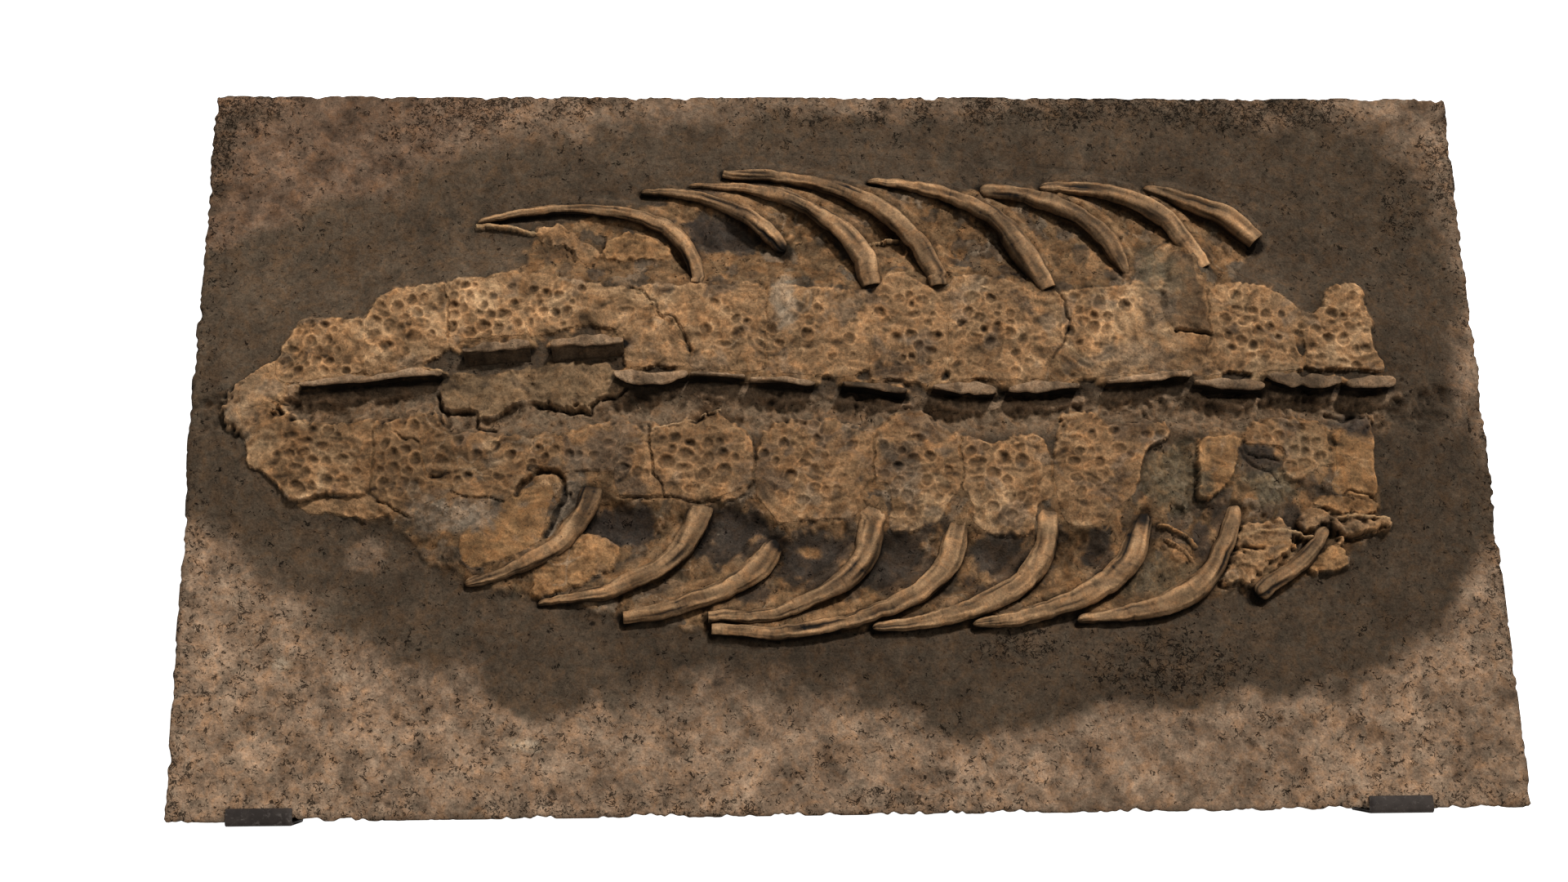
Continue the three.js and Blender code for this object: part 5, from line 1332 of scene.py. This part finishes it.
def bumpOf(tree, strength, distance, height):
    node = feed(tree, tree.nodes.new("ShaderNodeBump"), Strength=strength, Distance=distance, Height=height)
    return node.outputs["Normal"]


def newFinish(name):
    material = bpy.data.materials.new(name)
    material.use_nodes = True
    return material, material.node_tree, material.node_tree.nodes["Principled BSDF"]


def slitsOf(tree, place, scale, width):
    # short wriggling slits: the middle line of one noise
    away = calc(tree, "ABSOLUTE", calc(tree, "SUBTRACT", noiseOf(tree, place, scale, 2.0, 0.55, 0.9), 0.5))
    return spread(tree, away, width, 0.2 * width)


def holesOf(tree, place, scale):
    # small ragged holes: the peaks of one noise
    return spread(tree, noiseOf(tree, place, scale, 2.0, 0.5, 0.7), 0.63, 0.67)


def keptOf(tree, marks, place, scale, pocked, push, low):
    # marks kept where another noise is high, which it is more often on pocked stone
    kept = calc(tree, "ADD", noiseOf(tree, place, scale, 2.0, 0.5), calc(tree, "MULTIPLY", pocked, push))
    return calc(tree, "MULTIPLY", marks, spread(tree, kept, low, 0.70))


def stoneFinish(name, look):
    # stone or bone: the piece's own tint, mottled, with painted shade in hollows and paler on ridges
    material, tree, shader = newFinish(name)
    place = tree.nodes.new("ShaderNodeTexCoord").outputs["Object"]

    def attribute(key, output="Fac"):
        node = tree.nodes.new("ShaderNodeAttribute")
        node.attribute_name = key
        return node.outputs[output]

    def plus(a, b):
        return calc(tree, "ADD", a, b)

    def minus(a, b):
        return calc(tree, "SUBTRACT", a, b)

    def times(a, b):
        return calc(tree, "MULTIPLY", a, b)

    blotch = noiseOf(tree, place, look["blotchScale"], 4.0, 0.62, 0.4)
    mottle = noiseOf(tree, place, look["mottleScale"], 4.0, 0.7, look["swirl"])
    tooth = noiseOf(tree, place, look["toothScale"], 3.0, 0.7)
    # lightness swings round one
    swing = times(minus(blotch, 0.5), look["blotch"])
    swing = plus(swing, times(minus(mottle, 0.5), look["mottle"]))
    swing = plus(swing, times(minus(tooth, 0.5), look["tooth"]))
    light = calc(tree, "MAXIMUM", plus(swing, 1.0), 0.25)
    # painted shade: darker where the hollowShade attribute says the surface lies in a hollow
    light = times(light, minus(1.0, times(attribute("hollowShade"), look["hollowShade"])))
    light = times(light, plus(1.0, times(attribute("ridge"), look["ridge"])))
    bumpHeight = plus(times(mottle, 0.6), times(tooth, 0.4))
    if look["pocks"]:
        pocked = attribute("pocked")
        pocks = keptOf(tree, holesOf(tree, place, 330.0), place, 0.21 * 330.0, pocked, 0.24, 0.62)
        for scale in (190.0, 310.0):
            slits = keptOf(tree, slitsOf(tree, place, scale, 0.036), place, 0.83 * scale, pocked, 0.20, 0.64)
            pocks = calc(tree, "MAXIMUM", pocks, slits)
        # painted shade: pocks and slits are painted darker inside, as shade in the small holes the bump cuts
        light = times(light, minus(1.0, times(pocks, look["pocks"])))
        craggy = times(noiseOf(tree, place, 150.0, 4.0, 0.6, 0.8), times(pocked, 3.4))
        bumpHeight = minus(plus(bumpHeight, craggy), times(pocks, 1.3))
    toneAndShade = tree.nodes.new("ShaderNodeCombineColor")
    feed(tree, toneAndShade, Red=light, Green=light, Blue=light)
    colour = blendColour(tree, 1.0, attribute("tint", "Color"), toneAndShade.outputs[0], "MULTIPLY")
    # warmer and greyer patches of the same stone
    warmth = noiseOf(tree, place, look["warmScale"], 5.0, 0.65, 0.8)
    for low, high, most, hue in ((0.48, 0.68, look["warm"], (1.22, 0.98, 0.74, 1)),
                                 (0.50, 0.32, look["grey"], (0.84, 0.94, 1.0, 1))):
        share = spread(tree, warmth, low, high, (0.0, most))
        colour = blendColour(tree, share, colour, blendColour(tree, 1.0, colour, hue, "MULTIPLY"))
    # dark specks
    speck = spread(tree, noiseOf(tree, place, look["speckScale"], 2.0, 0.5), 0.30, 0.24, (0.0, look["speck"]))
    if look["pocks"]:
        speck = times(speck, spread(tree, pocked, 0.05, 0.5, (0.15, 1.0)))
    colour = blendColour(tree, speck, colour, (0.02, 0.014, 0.010, 1))
    feed(tree, shader, Base_Color=colour, Roughness=spread(tree, mottle, 0.3, 0.7, look["roughness"]),
         Specular_IOR_Level=look["specular"],
         Normal=bumpOf(tree, look["bump"], look["bumpDepth"], bumpHeight))
    return material


boneLook = {
    "blotchScale": 75.0, "blotch": 0.9, "mottleScale": 300.0, "mottle": 2.0, "swirl": 1.6,
    "toothScale": 900.0, "tooth": 1.3, "hollowShade": 0.95, "ridge": 0.55, "warmScale": 110.0, "warm": 0.5,
    "grey": 0.5, "speckScale": 520.0, "speck": 0.75, "roughness": (0.66, 0.86), "specular": 0.10,
    "bump": 0.9, "bumpDepth": 0.0009, "pocks": 0,
}
ribLook = dict(boneLook, blotch=0.8, mottle=1.5, swirl=0.6, ridge=0.45, bump=0.6, specular=0.14)
spineLook = dict(boneLook, warm=0.4, grey=0.2, hollowShade=0.8)
matrixLook = {
    "blotchScale": 60.0, "blotch": 0.4, "mottleScale": 240.0, "mottle": 1.6, "swirl": 0.9,
    "toothScale": 850.0, "tooth": 1.6, "hollowShade": 0.85, "ridge": 0.55, "warmScale": 120.0, "warm": 0.6,
    "grey": 0.7, "speckScale": 420.0, "speck": 0.8, "roughness": (0.80, 0.96), "specular": 0.06,
    "bump": 0.9, "bumpDepth": 0.0010, "pocks": 0.80,
}
boneFinish = stoneFinish("fossilBone", boneLook)
ribFinish = stoneFinish("ribBone", ribLook)
spineFinish = stoneFinish("spineBone", spineLook)
matrixFinish = stoneFinish("limestoneMatrix", matrixLook)

# Plates, smooth bones and fragments
plateMesh = {"spacing": 0.84, "fragmentSpacing": 0.90, "foot": 2.2}


def sheetShell(bone, spacing, seed):
    loop = bone["loop"]
    inner = hexPoints(loop.min(0), loop.max(0), spacing, seed)
    inner = inner[insideDepth(loop, *inner.T) > 1.0 + 0.5 * spacing]
    points = np.concatenate([loop, insetRing(loop, 0.45), insetRing(loop, 1.0), inner])
    flat, triangles = triangulate(points, range(len(loop)))
    top = sample(relief, *flat.T)
    return closedSheet(flat, triangles, top, np.minimum(sample(matrix, *flat.T), top) - plateMesh["foot"])


arches = {}
faceCount = 0
for number, bone in enumerate(plates):
    name = bone["name"]
    if name.startswith("arch"):
        arches[name] = sheetShell(bone, plateMesh["fragmentSpacing"], number)
        continue
    wanted = nodeOf.get(name)
    points, triangles = sheetShell(bone, plateMesh["spacing" if wanted else "fragmentSpacing"], number)
    piece = makePiece(name, points, triangles, groundTint(*points[:, :2].T), boneFinish, "bone")
    if wanted:
        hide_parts(wanted)
    faceCount += len(triangles)
print("plates and fragments:", faceCount, "triangles")


# Ribs
def outwardFacing(points, triangles):
    a, b, c = (points[triangles[:, n]] for n in range(3))
    return triangles[:, ::-1] if np.sum(a * np.cross(b, c)) < 0 else triangles


def tubeFaces(rings, sides):
    # triangles between rings of points in the same order, with a fan at either end
    n = np.arange(sides)
    after = (n + 1) % sides
    faces = []
    for low in range(0, (rings - 1) * sides, sides):
        high = low + sides
        faces.append(np.stack([low + n, low + after, high + after], 1))
        faces.append(np.stack([low + n, high + after, high + n], 1))
    last = rings * sides
    faces.append(np.stack([np.full(sides, last), after, n], 1))
    faces.append(np.stack([np.full(sides, last + 1), last - sides + n, last - sides + after], 1))
    return np.concatenate(faces)


def tubeMesh(rings):
    points = np.concatenate(rings + [rings[0].mean(0)[None], rings[-1].mean(0)[None]])
    return points, outwardFacing(points - points.mean(0), tubeFaces(len(rings), len(rings[0])))


ribShape = {"sides": 24, "fromAngle": -50.0, "toAngle": 230.0, "tall": 0.85, "boxy": 0.78, "streak": 0.30,
            "lumps": 0.14, "skew": 0.12, "step": 0.9, "taper": 5.0, "foot": 2.5, "rootDrop": 2.4,
            "sideShade": {"upper": 0.15, "lower": 0.28}}


def ribShell(rib, seed, sideShade):
    line = ribLine(rib["line"], ribShape["step"])
    tangent, across = acrossLine(line)
    travel = ribShape["step"] * np.arange(len(line))
    toEnd = travel[-1] - travel
    shrink = np.ones(len(line))
    for isCut, distance in ((rib.get("cutStart"), travel), (rib.get("cutEnd"), toEnd)):
        if not isCut:
            near = np.clip(distance / ribShape["taper"], 0.02, 1)
            shrink = np.minimum(shrink, np.sqrt(1 - (1 - near) ** 2))
    # a rooted end sinks under the plates
    rooted = np.zeros(len(line))
    for key, distance in (("rooted", travel), ("rootedEnd", toEnd)):
        if key in rib:
            rooted = np.maximum(rooted, 1 - smooth(distance, 0.35 * rib[key], rib[key]))
    half = line[:, 2] / 2 * shrink * (1 + 0.035 * noiseGrid(len(line), 4, 9, 2, seed + 5)[:, 0])
    tall = ribShape["tall"] * half
    crest = line[:, 3] - (1 - shrink) * np.minimum(line[:, 3], 3) - ribShape["rootDrop"] * rooted
    angles = np.radians(np.linspace(ribShape["fromAngle"], ribShape["toAngle"], ribShape["sides"]))
    side, lift = (np.sign(wave) * np.abs(wave) ** ribShape["boxy"]
                  for wave in (np.cos(angles), np.sin(angles)))
    streak = noiseGrid(len(line), len(angles), 13, 1.0, seed)
    lumps = noiseGrid(len(line), len(angles), 7, 6, seed + 1)
    worked = ribShape["streak"] * streak + ribShape["lumps"] * lumps
    offset = half[:, None] * side + worked * np.cos(angles)
    # the crest leans to the north side
    offset += ribShape["skew"] * (half * np.sign(across[:, 1]))[:, None] * np.clip(lift, 0, 1)
    height = (crest - tall)[:, None] + tall[:, None] * lift + worked * np.sin(angles)
    middleTop = np.exp(-((np.degrees(angles) - 84) / 13) ** 2)
    groove = rib.get("groove", 0) * middleTop
    height -= groove * smooth(travel, 6, 16)[:, None] * smooth(toEnd, 2, 10)[:, None]
    x, y = (line[:, n:n + 1] + offset * across[:, n:n + 1] for n in (0, 1))
    height = height + 0.12 * sample(crag, x, y) * shrink[:, None]
    # the two edges go down into the ground
    x, y = (np.concatenate([place, place[:, [-1, 0]]], 1) for place in (x, y))
    foot = np.minimum(sample(matrix, x[:, -2:], y[:, -2:]), height[:, [-1, 0]]) - ribShape["foot"]
    rings = list(np.stack([x, y, np.concatenate([height, foot], 1)], 2))
    # pale and dark fibre streaks and dark transverse breaks of the bone, then painted shade: the sides and
    # underside painted darker and the crest lighter as a painted highlight, and the foot points where the
    # bone meets the ground painted dark
    breaks = smooth(noiseGrid(len(line), len(angles), 1.2, 4, seed + 2), 1.3, 1.9)
    toneAndShade = 1 + 0.28 * streak - 0.22 * smooth(-streak, 0.9, 1.6) - 0.30 * breaks
    toneAndShade *= sideShade + 0.36 * smooth(lift, -0.4, 0.5) + (0.76 - sideShade) * smooth(lift, 0.55, 1.0)
    toneAndShadeRows = [np.append(row, [0.4, 0.4]) for row in toneAndShade]
    # a square break is dished in, as broken bone is; the dish's outer ring is lighter and its inner ring
    # painted darker as shade
    for isCut, end, outward in ((rib.get("cutEnd"), -1, 1), (rib.get("cutStart"), 0, -1)):
        if isCut:
            ring = rings[end]
            middle = ring[:-2].mean(0)
            along = np.array([*tangent[end], 0]) * outward
            dish = [middle + (ring - middle) * 0.86 + along * 0.25,
                    middle + (ring - middle) * 0.5 - along * 0.35]
            dishTonesAndShade = [np.full(len(ring), 1.1), np.full(len(ring), 0.8)]
            rings = rings + dish if end else dish[::-1] + rings
            toneAndShadeRows = toneAndShadeRows + dishTonesAndShade if end else dishTonesAndShade[::-1] + toneAndShadeRows
    points, triangles = tubeMesh(rings)
    shares = np.interp(np.linspace(0, 1, len(rings)), np.linspace(0, 1, len(rooted)), rooted)
    shares = np.append(np.repeat(shares, len(rings[0])), [rooted[0], rooted[-1]])
    # the middle points of the two end caps are darker too
    return points, triangles, np.concatenate(toneAndShadeRows + [[0.7, 0.7]]), shares


faceCount = 0
for group, ribs, firstSeed in (("upper", upperRibs, 300), ("lower", lowerRibs, 350)):
    for number, rib in enumerate(ribs, 1):
        points, triangles, tone, rooted = ribShell(rib, firstSeed + number, ribShape["sideShade"][group])
        x, y = points[:, :2].T
        tint = rib["tone"] * boneTint("ribBone", x, y)
        # tone from ribShell carries its painted shade and painted highlight
        tint = mix(tint, groundTint(x, y), 0.85 * rooted[:, None]) * tone[:, None]
        stained = smooth(0.7 * sample(patch, 1.6 * y, 1.6 * x) + 0.7 * sample(streak, x, y), 0.6, 1.6)
        tint = mix(tint, palette["ribDark"] * tone[:, None], 0.4 * stained[:, None])
        piece = makePiece(f"{group}Rib{number}", points, triangles, tint, ribFinish, "bone")
        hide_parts(f"rib_{group}_{number}")
        faceCount += len(triangles)
print("ribs:", faceCount, "triangles")

# Neural spines: a narrow table over a thinner blade, on the pad of its arch
spineShape = {"step": 0.85, "profileStep": 0.9, "ragged": 0.20, "footDepth": 2.5}


def spineProfile(half, lean, foot):
    # half the table's width, how far the south face leans out, and the foot's level
    table = [(0.96, -1.9), (1, -1.1), (0.93, -0.35), (0.6, -0.05), (0.15, 0.1), (-0.3, 0.05), (-0.65, -0.1),
             (-0.95, -0.5), (-1, -1.3), (-0.9, -2.1)]
    points = [(half * across, spineRise + drop) for across, drop in table]
    points += [(-half * 0.35 - 0.15 * lean, spineRise - 3.0), (-half * 0.2 - 0.5 * lean, 13.5),
               (-half * 0.25 - lean, 8.5), (-half * 0.35 - lean, foot), (half * 0.9, foot),
               (half * 0.75, 8.0), (half * 0.7, 14.0), (half * 0.75, spineRise - 2.8)]
    return np.array(points)


def spineShell(spine, seed):
    line = spineLine(spine, spineShape["step"])
    across = acrossLine(line)[1]
    order = np.arange(len(line))
    ragged = noiseGrid(len(line), 6, 5, 2, seed)
    near = np.clip(np.minimum(order, order[::-1]) / 2.5, 0.15, 1)
    shrink = np.sqrt(np.clip(1 - (1 - near) ** 2, 0, 1))
    foot = np.minimum(sample(matrix, line[:, 0], line[:, 1]), 6) - spineShape["footDepth"]
    rings, marks = [], None
    for n in order:
        half = max(line[n, 2] * (1 + spineShape["ragged"] * ragged[n, 0]), 1.2) / 2 * shrink[n]
        corners = spineProfile(half, spine.get("lean", 0), foot[n])
        if marks is None:
            steps = np.diff(np.cumsum([0, *np.linalg.norm(np.diff(corners, axis=0), axis=1)]))
            marks = []
            for side, length in enumerate(steps):
                parts = max(int(round(length / spineShape["profileStep"])), 1)
                marks.extend(np.linspace(side, side + 1, parts, endpoint=False))
            marks.append(len(corners) - 1)
        offset, height = (np.interp(marks, np.arange(len(corners)), values) for values in corners.T)
        offset = offset + 0.12 * ragged[n, 1] * (height > 10)
        x, y = line[n, 0] + offset * across[n, 0], line[n, 1] + offset * across[n, 1]
        rough = 0.30 * sample(crag, x + 1.7 * height, y + 2.9 * height)
        height = height + np.where(height > spineRise - 3, 0.42 * sample(crag, x, y) + 0.25 * ragged[n, 2], 0)
        rings.append(np.stack([x + rough * across[n, 0], y + rough * across[n, 1], height], 1))
    return tubeMesh(rings)


faceCount = 0
for number, spine in enumerate(spines, 1):
    points, triangles = spineShell(spine, 500 + 7 * number)
    archPoints, archTriangles = arches[f"arch{number}"]
    x, y, z = points.T
    fibreAndUnderShade = 1 + 0.16 * sample(streak, y, x) + 0.18 * sample(crag, x, y)
    # painted shade: below the table the blade is painted darker, as it lies in the shade under it
    fibreAndUnderShade *= 0.36 + 0.64 * smooth(z, 17.5, 20)
    tint = boneTint("spineBone", x, y) * spine.get("tone", 0.95) * fibreAndUnderShade[:, None]
    tint = np.concatenate([tint, groundTint(*archPoints[:, :2].T)])
    triangles = np.concatenate([triangles, archTriangles + len(points)])
    points = np.concatenate([points, archPoints])
    piece = makePiece(f"neuralSpine{number}", points, triangles, tint, spineFinish, "bone")
    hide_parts(f"neural_spine_{number}")
    faceCount += len(triangles)
print("neural spines:", faceCount, "triangles")

# The bed of matrix under the bones, and the rest of the slab round it
bedShape = {
    "outline": [
        (250, 470), (290, 425), (380, 350), (470, 300), (560, 245), (660, 215), (760, 200), (900, 188),
        (1100, 192), (1300, 205), (1450, 215), (1580, 245), (1680, 310), (1735, 400), (1742, 500),
        (1735, 600), (1700, 690), (1600, 755), (1450, 785), (1250, 795), (1000, 800), (800, 785),
        (650, 765), (540, 735), (450, 670), (340, 640), (270, 560)],
    "spacing": 1.18, "hiddenSpacing": 6.0, "foot": -10.0, "lap": 0.3,
}
bedLoop = anticlockwise(smoothLine(fromView(bedShape["outline"]), 1.4, closed=True))
bedCoarse = bedLoop[::4]
bedBox = (bedLoop.min(0), bedLoop.max(0))

# Hidden ground lies deep under the sheets of bone
hidden = np.full(gridX.shape, -9.0)
for window, depth in bonePlaces:
    hidden[window] = np.maximum(hidden[window], depth)

# The bed parts in two along the row of spines, on a line between two points of its edge
offMiddle = bedLoop[:, 1] - bed["troughPlace"]
west = int(np.argmin(np.hypot(bedLoop[:, 0] - bedLoop[:, 0].min(), offMiddle)))
east = int(np.argmin(np.hypot(bedLoop[:, 0] - bedLoop[:, 0].max(), offMiddle)))
partCount = int((bedLoop[east, 0] - bedLoop[west, 0]) / bedShape["spacing"])
partShare = np.linspace(0, 1, partCount + 1)[1:-1, None]
partPoints = bedLoop[west] + (bedLoop[east] - bedLoop[west]) * partShare
partSlope = (bedLoop[east, 1] - bedLoop[west, 1]) / (bedLoop[east, 0] - bedLoop[west, 0])


def abovePart(points):
    return points[:, 1] - bedLoop[west, 1] - partSlope * (points[:, 0] - bedLoop[west, 0])


fine = hexPoints(*bedBox, bedShape["spacing"], 901)
fine = fine[(insideDepth(bedCoarse, *fine.T) > 1.0) & (sample(hidden, *fine.T) < 2.6)]
coarse = hexPoints(*bedBox, bedShape["hiddenSpacing"], 902)
coarse = coarse[(insideDepth(bedCoarse, *coarse.T) > 3) & (sample(hidden, *coarse.T) > 4.5)]
inner = np.concatenate([fine, coarse])
inner = inner[np.abs(abovePart(inner)) > 0.5]
partNumbers = [west, *range(len(bedLoop), len(bedLoop) + len(partPoints)), east]
flat, triangles = triangulate(np.concatenate([bedLoop, partPoints, inner]), range(len(bedLoop)),
                              list(zip(partNumbers, partNumbers[1:])))
middles = flat[triangles].mean(1)
faceCount = 0
for name, chosen in (("fossilBedUpper", abovePart(middles) > 0), ("fossilBedLower", abovePart(middles) <= 0)):
    used, numbers = np.unique(triangles[chosen], return_inverse=True)
    halfFlat, halfFaces = flat[used], numbers.reshape(-1, 3)
    lap = 1 - smooth(insideDepth(bedCoarse, *halfFlat.T), 0.2, 1.6)
    top = sample(sunk, *halfFlat.T) - bedShape["lap"] * lap
    border = borderOf(halfFaces)
    points, faces = closedSheet(halfFlat, halfFaces, top, np.full(len(top), bedShape["foot"]), 1, 0.0, 0.0)
    makePiece(name, points, faces, groundTint(*points[:, :2].T), matrixFinish, "matrix", border)
    faceCount += len(faces)
print("bed:", faceCount, "triangles")

chipWaves = ((0.55, 2), (0.55, 5), (0.40, 13))      # size and length of the waves that chip the rim


def raggedRim():
    # a rectangle whose sides are chipped inwards
    left, right, low, high = (slabShape[key] for key in ("left", "right", "low", "high"))
    corners = np.array([(left, low), (right, low), (right, high), (left, high), (left, low)])
    sides = []
    for number, (a, b) in enumerate(zip(corners, corners[1:])):
        length = np.linalg.norm(b - a)
        count = int(length / slabShape["rimStep"])
        t = np.linspace(0, 1, count, endpoint=False)[:, None]
        along = (b - a) / length
        fromCorner = np.minimum(t, 1 - t)[:, 0] * length
        chip = 0.5 + sum(size * noiseGrid(count, 4, knot, 2, 910 + 10 * knot + number)[:, 0]
                         for size, knot in chipWaves)
        chip = np.clip(chip * smooth(fromCorner, 0.3, 3.0), 0, 3.0)
        side = a + (b - a) * t + np.array([-along[1], along[0]]) * chip[:, None]
        sides.append(side[fromCorner > 1.6])
    return np.concatenate(sides)


rim = raggedRim()
stone = hexPoints(rim.min(0), rim.max(0), slabShape["spacing"], 903)
stone = stone[(rimDistance(*stone.T) > 3.4) & (insideDepth(bedCoarse, *stone.T) < -1.0)]
under = hexPoints(*bedBox, slabShape["hiddenSpacing"], 904)
under = under[insideDepth(bedCoarse, *under.T) > 6]
first, second = len(rim), len(rim) + len(bedLoop)
bedLines = [(first + n, first + (n + 1) % len(bedLoop)) for n in range(len(bedLoop))]
sunkRing = np.concatenate([insetRing(bedLoop, 1.4), insetRing(bedLoop[::2], 2.6)])
flat, triangles = triangulate(np.concatenate([rim, bedLoop, insetRing(rim, 1.3), stone, sunkRing, under]),
                              range(len(rim)), bedLines)
bevel = (1 - smooth(rimDistance(*flat.T), 0, 3.2)) * (0.7 + 0.4 * sample(crag, *flat.T))
top = sample(matrix, *flat.T) - slabShape["bevel"] * bevel
inBed = insideDepth(bedCoarse, *flat.T)
inBed[first:second] = 0
top = mix(top, slabShape["sunk"], smooth(inBed, 0.5, 12))
foot = np.full(len(flat), slabShape["foot"] - faceLevel)
points, triangles = closedSheet(flat, triangles, top, foot, slabShape["rows"], 0.0, 0.8)


def drawnIn(z):
    # the sides draw in below the face
    return slabShape["drawIn"] * smooth(-z, 0, 0.6 * faceLevel)


inward = drawnIn(points[:, 2])
for n, low, high in ((0, "left", "right"), (1, "low", "high")):
    drawn = points[:, n] * (1 - inward / slabShape[high])
    points[:, n] = np.clip(drawn, slabShape[low], slabShape[high])
tint = groundTint(*points[:, :2].T)
slabPiece = makePiece("limestoneSlab", points, triangles, tint, matrixFinish, "matrix")
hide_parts("slab")
print("slab:", len(triangles), "triangles")

# Clips of bent painted strip round the lower edge
clipShape = {
    "clipLeft": {"place": (317, 1004), "replaces": "clip_left"},
    "clipRight": {"place": (1716, 992), "replaces": "clip_right"},
}
strip = {"width": 38.0, "metal": 2.2, "lip": 8.0, "leg": 14.0, "gap": 0.35, "bend": 2.2, "step": 1.6,
         "edge": 0.45}


def clipFinish():
    material, tree, shader = newFinish("clipPaint")
    place = tree.nodes.new("ShaderNodeTexCoord").outputs["Object"]
    wear = spread(tree, noiseOf(tree, place, 320.0, 5.0, 0.7, 0.5), 0.56, 0.70)
    dust = spread(tree, noiseOf(tree, place, 90.0, 4.0, 0.6), 0.42, 0.66, (0.0, 0.55))
    colour = blendColour(tree, dust, (0.028, 0.022, 0.019, 1), (0.064, 0.051, 0.043, 1))
    colour = blendColour(tree, wear, colour, (0.095, 0.080, 0.070, 1))
    feed(tree, shader, Base_Color=colour, Roughness=spread(tree, wear, 0, 1, (0.62, 0.8)),
         Specular_IOR_Level=0.08, Normal=bumpOf(tree, 0.3, 0.0003, noiseOf(tree, place, 700.0, 3.0, 0.6)))
    return material


def arc(centreX, centreY, radius, start, end, count=6):
    angles = np.radians(np.linspace(start, end, count))
    return [(centreX + radius * math.cos(a), centreY + radius * math.sin(a)) for a in angles]


def stripProfile(inset):
    # the clip's section as y and height above the slab's underside, drawn in by inset
    south = slabShape["low"] - strip["gap"]
    metal, bend = strip["metal"], strip["bend"]
    top = faceLevel + strip["gap"] + metal
    outerSouth = south - metal + inset
    legEnd, lipEnd = south + strip["leg"] - inset, south + strip["lip"] - inset
    half = metal / 2 - inset
    outline = arc(legEnd - half, metal / 2, half, 90, -90)
    outline += arc(outerSouth + bend, inset + bend, bend, 270, 180)
    outline += arc(outerSouth + bend, top - inset - bend, bend, 180, 90)
    outline += arc(lipEnd - half, top - metal / 2, half, 90, -90)
    outline += [(south - inset, top - metal + inset), (south - inset, metal - inset)]
    return np.array(outline)


clipMaterial = clipFinish()
for name, clip in clipShape.items():
    centre = fromView(clip["place"])[0]
    halfWidth = strip["width"] / 2
    middle = halfWidth - strip["edge"]
    places = np.linspace(-middle, middle, int(strip["width"] / strip["step"]))
    sections = [(-halfWidth, strip["edge"]), *[(place, 0.0) for place in places], (halfWidth, strip["edge"])]
    rings = []
    for place, inset in sections:
        y, z = stripProfile(inset).T
        rings.append(np.column_stack([np.full(len(y), centre + place), y, z - faceLevel]))
    points = np.concatenate(rings)
    points[:, 1] += drawnIn(points[:, 2])
    sides = len(rings[0])
    faces = [tubeFaces(len(rings), sides)[:-2 * sides]]
    for ring, offset in ((rings[0], 0), (rings[-1], len(points) - sides)):
        cap = turnUp(points[:, [1, 2]], triangulate(ring[:, 1:], range(sides))[1] + offset)
        faces.append(cap if offset else cap[:, ::-1])
    triangles = outwardFacing(points - points.mean(0), np.concatenate(faces))
    piece = makePiece(name, points, triangles, np.full((len(points), 3), 0.03), clipMaterial, "clip")
    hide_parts(clip["replaces"])
print("clips made")

# Floor, light and camera
stage = {"floorSize": 6.0, "floorLevel": -0.0004, "floorColour": (0.93, 0.93, 0.925, 1), "floorGlow": 1.1,
         "sunFrom": 28.0, "sunHeight": 50.0, "sunPower": 2.9, "sunAngle": 6.0, "sky": 0.34,
         "skyColour": (1, 0.99, 0.97, 1), "farthest": 20}

floorMesh = bpy.data.meshes.new("floor")
half = stage["floorSize"] / 2
floorCorners = [(x * half, y * half, stage["floorLevel"]) for x, y in ((-1, -1), (1, -1), (1, 1), (-1, 1))]
floorMesh.from_pydata(floorCorners, [], [(0, 1, 2, 3)])
floor = addObject("floor", floorMesh)
floorMaterial, floorTree, floorShader = newFinish("paleFloor")
feed(floorTree, floorShader, Base_Color=stage["floorColour"], Roughness=0.9,
     Emission_Color=stage["floorColour"], Emission_Strength=stage["floorGlow"])
floorMesh.materials.append(floorMaterial)

sun = bpy.data.lights.new("studioSun", "SUN")
sun.energy = stage["sunPower"]
sun.angle = math.radians(stage["sunAngle"])
bearing, rise = math.radians(stage["sunFrom"]), math.radians(stage["sunHeight"])
towardSun = Vector((math.sin(bearing) * math.cos(rise), math.cos(bearing) * math.cos(rise), math.sin(rise)))
addObject("studioSun", sun).rotation_euler = towardSun.to_track_quat("Z", "Y").to_euler()

world = bpy.data.worlds.new("studio")
world.use_nodes = True
feed(world.node_tree, world.node_tree.nodes["Background"], Color=stage["skyColour"], Strength=stage["sky"])
bpy.context.scene.world = world
bpy.context.scene.view_settings.view_transform = "Standard"

camera = bpy.data.cameras.new("camera")
camera.lens = view["lens"]
camera.sensor_width = view["sensor"]
camera.clip_end = stage["farthest"]
cameraObject = addObject("camera", camera)
cameraObject.location = Vector(view["place"]) * metre
cameraObject.rotation_euler = viewEuler
bpy.context.scene.camera = cameraObject
print("stage set")

bpy.context.view_layer.update()
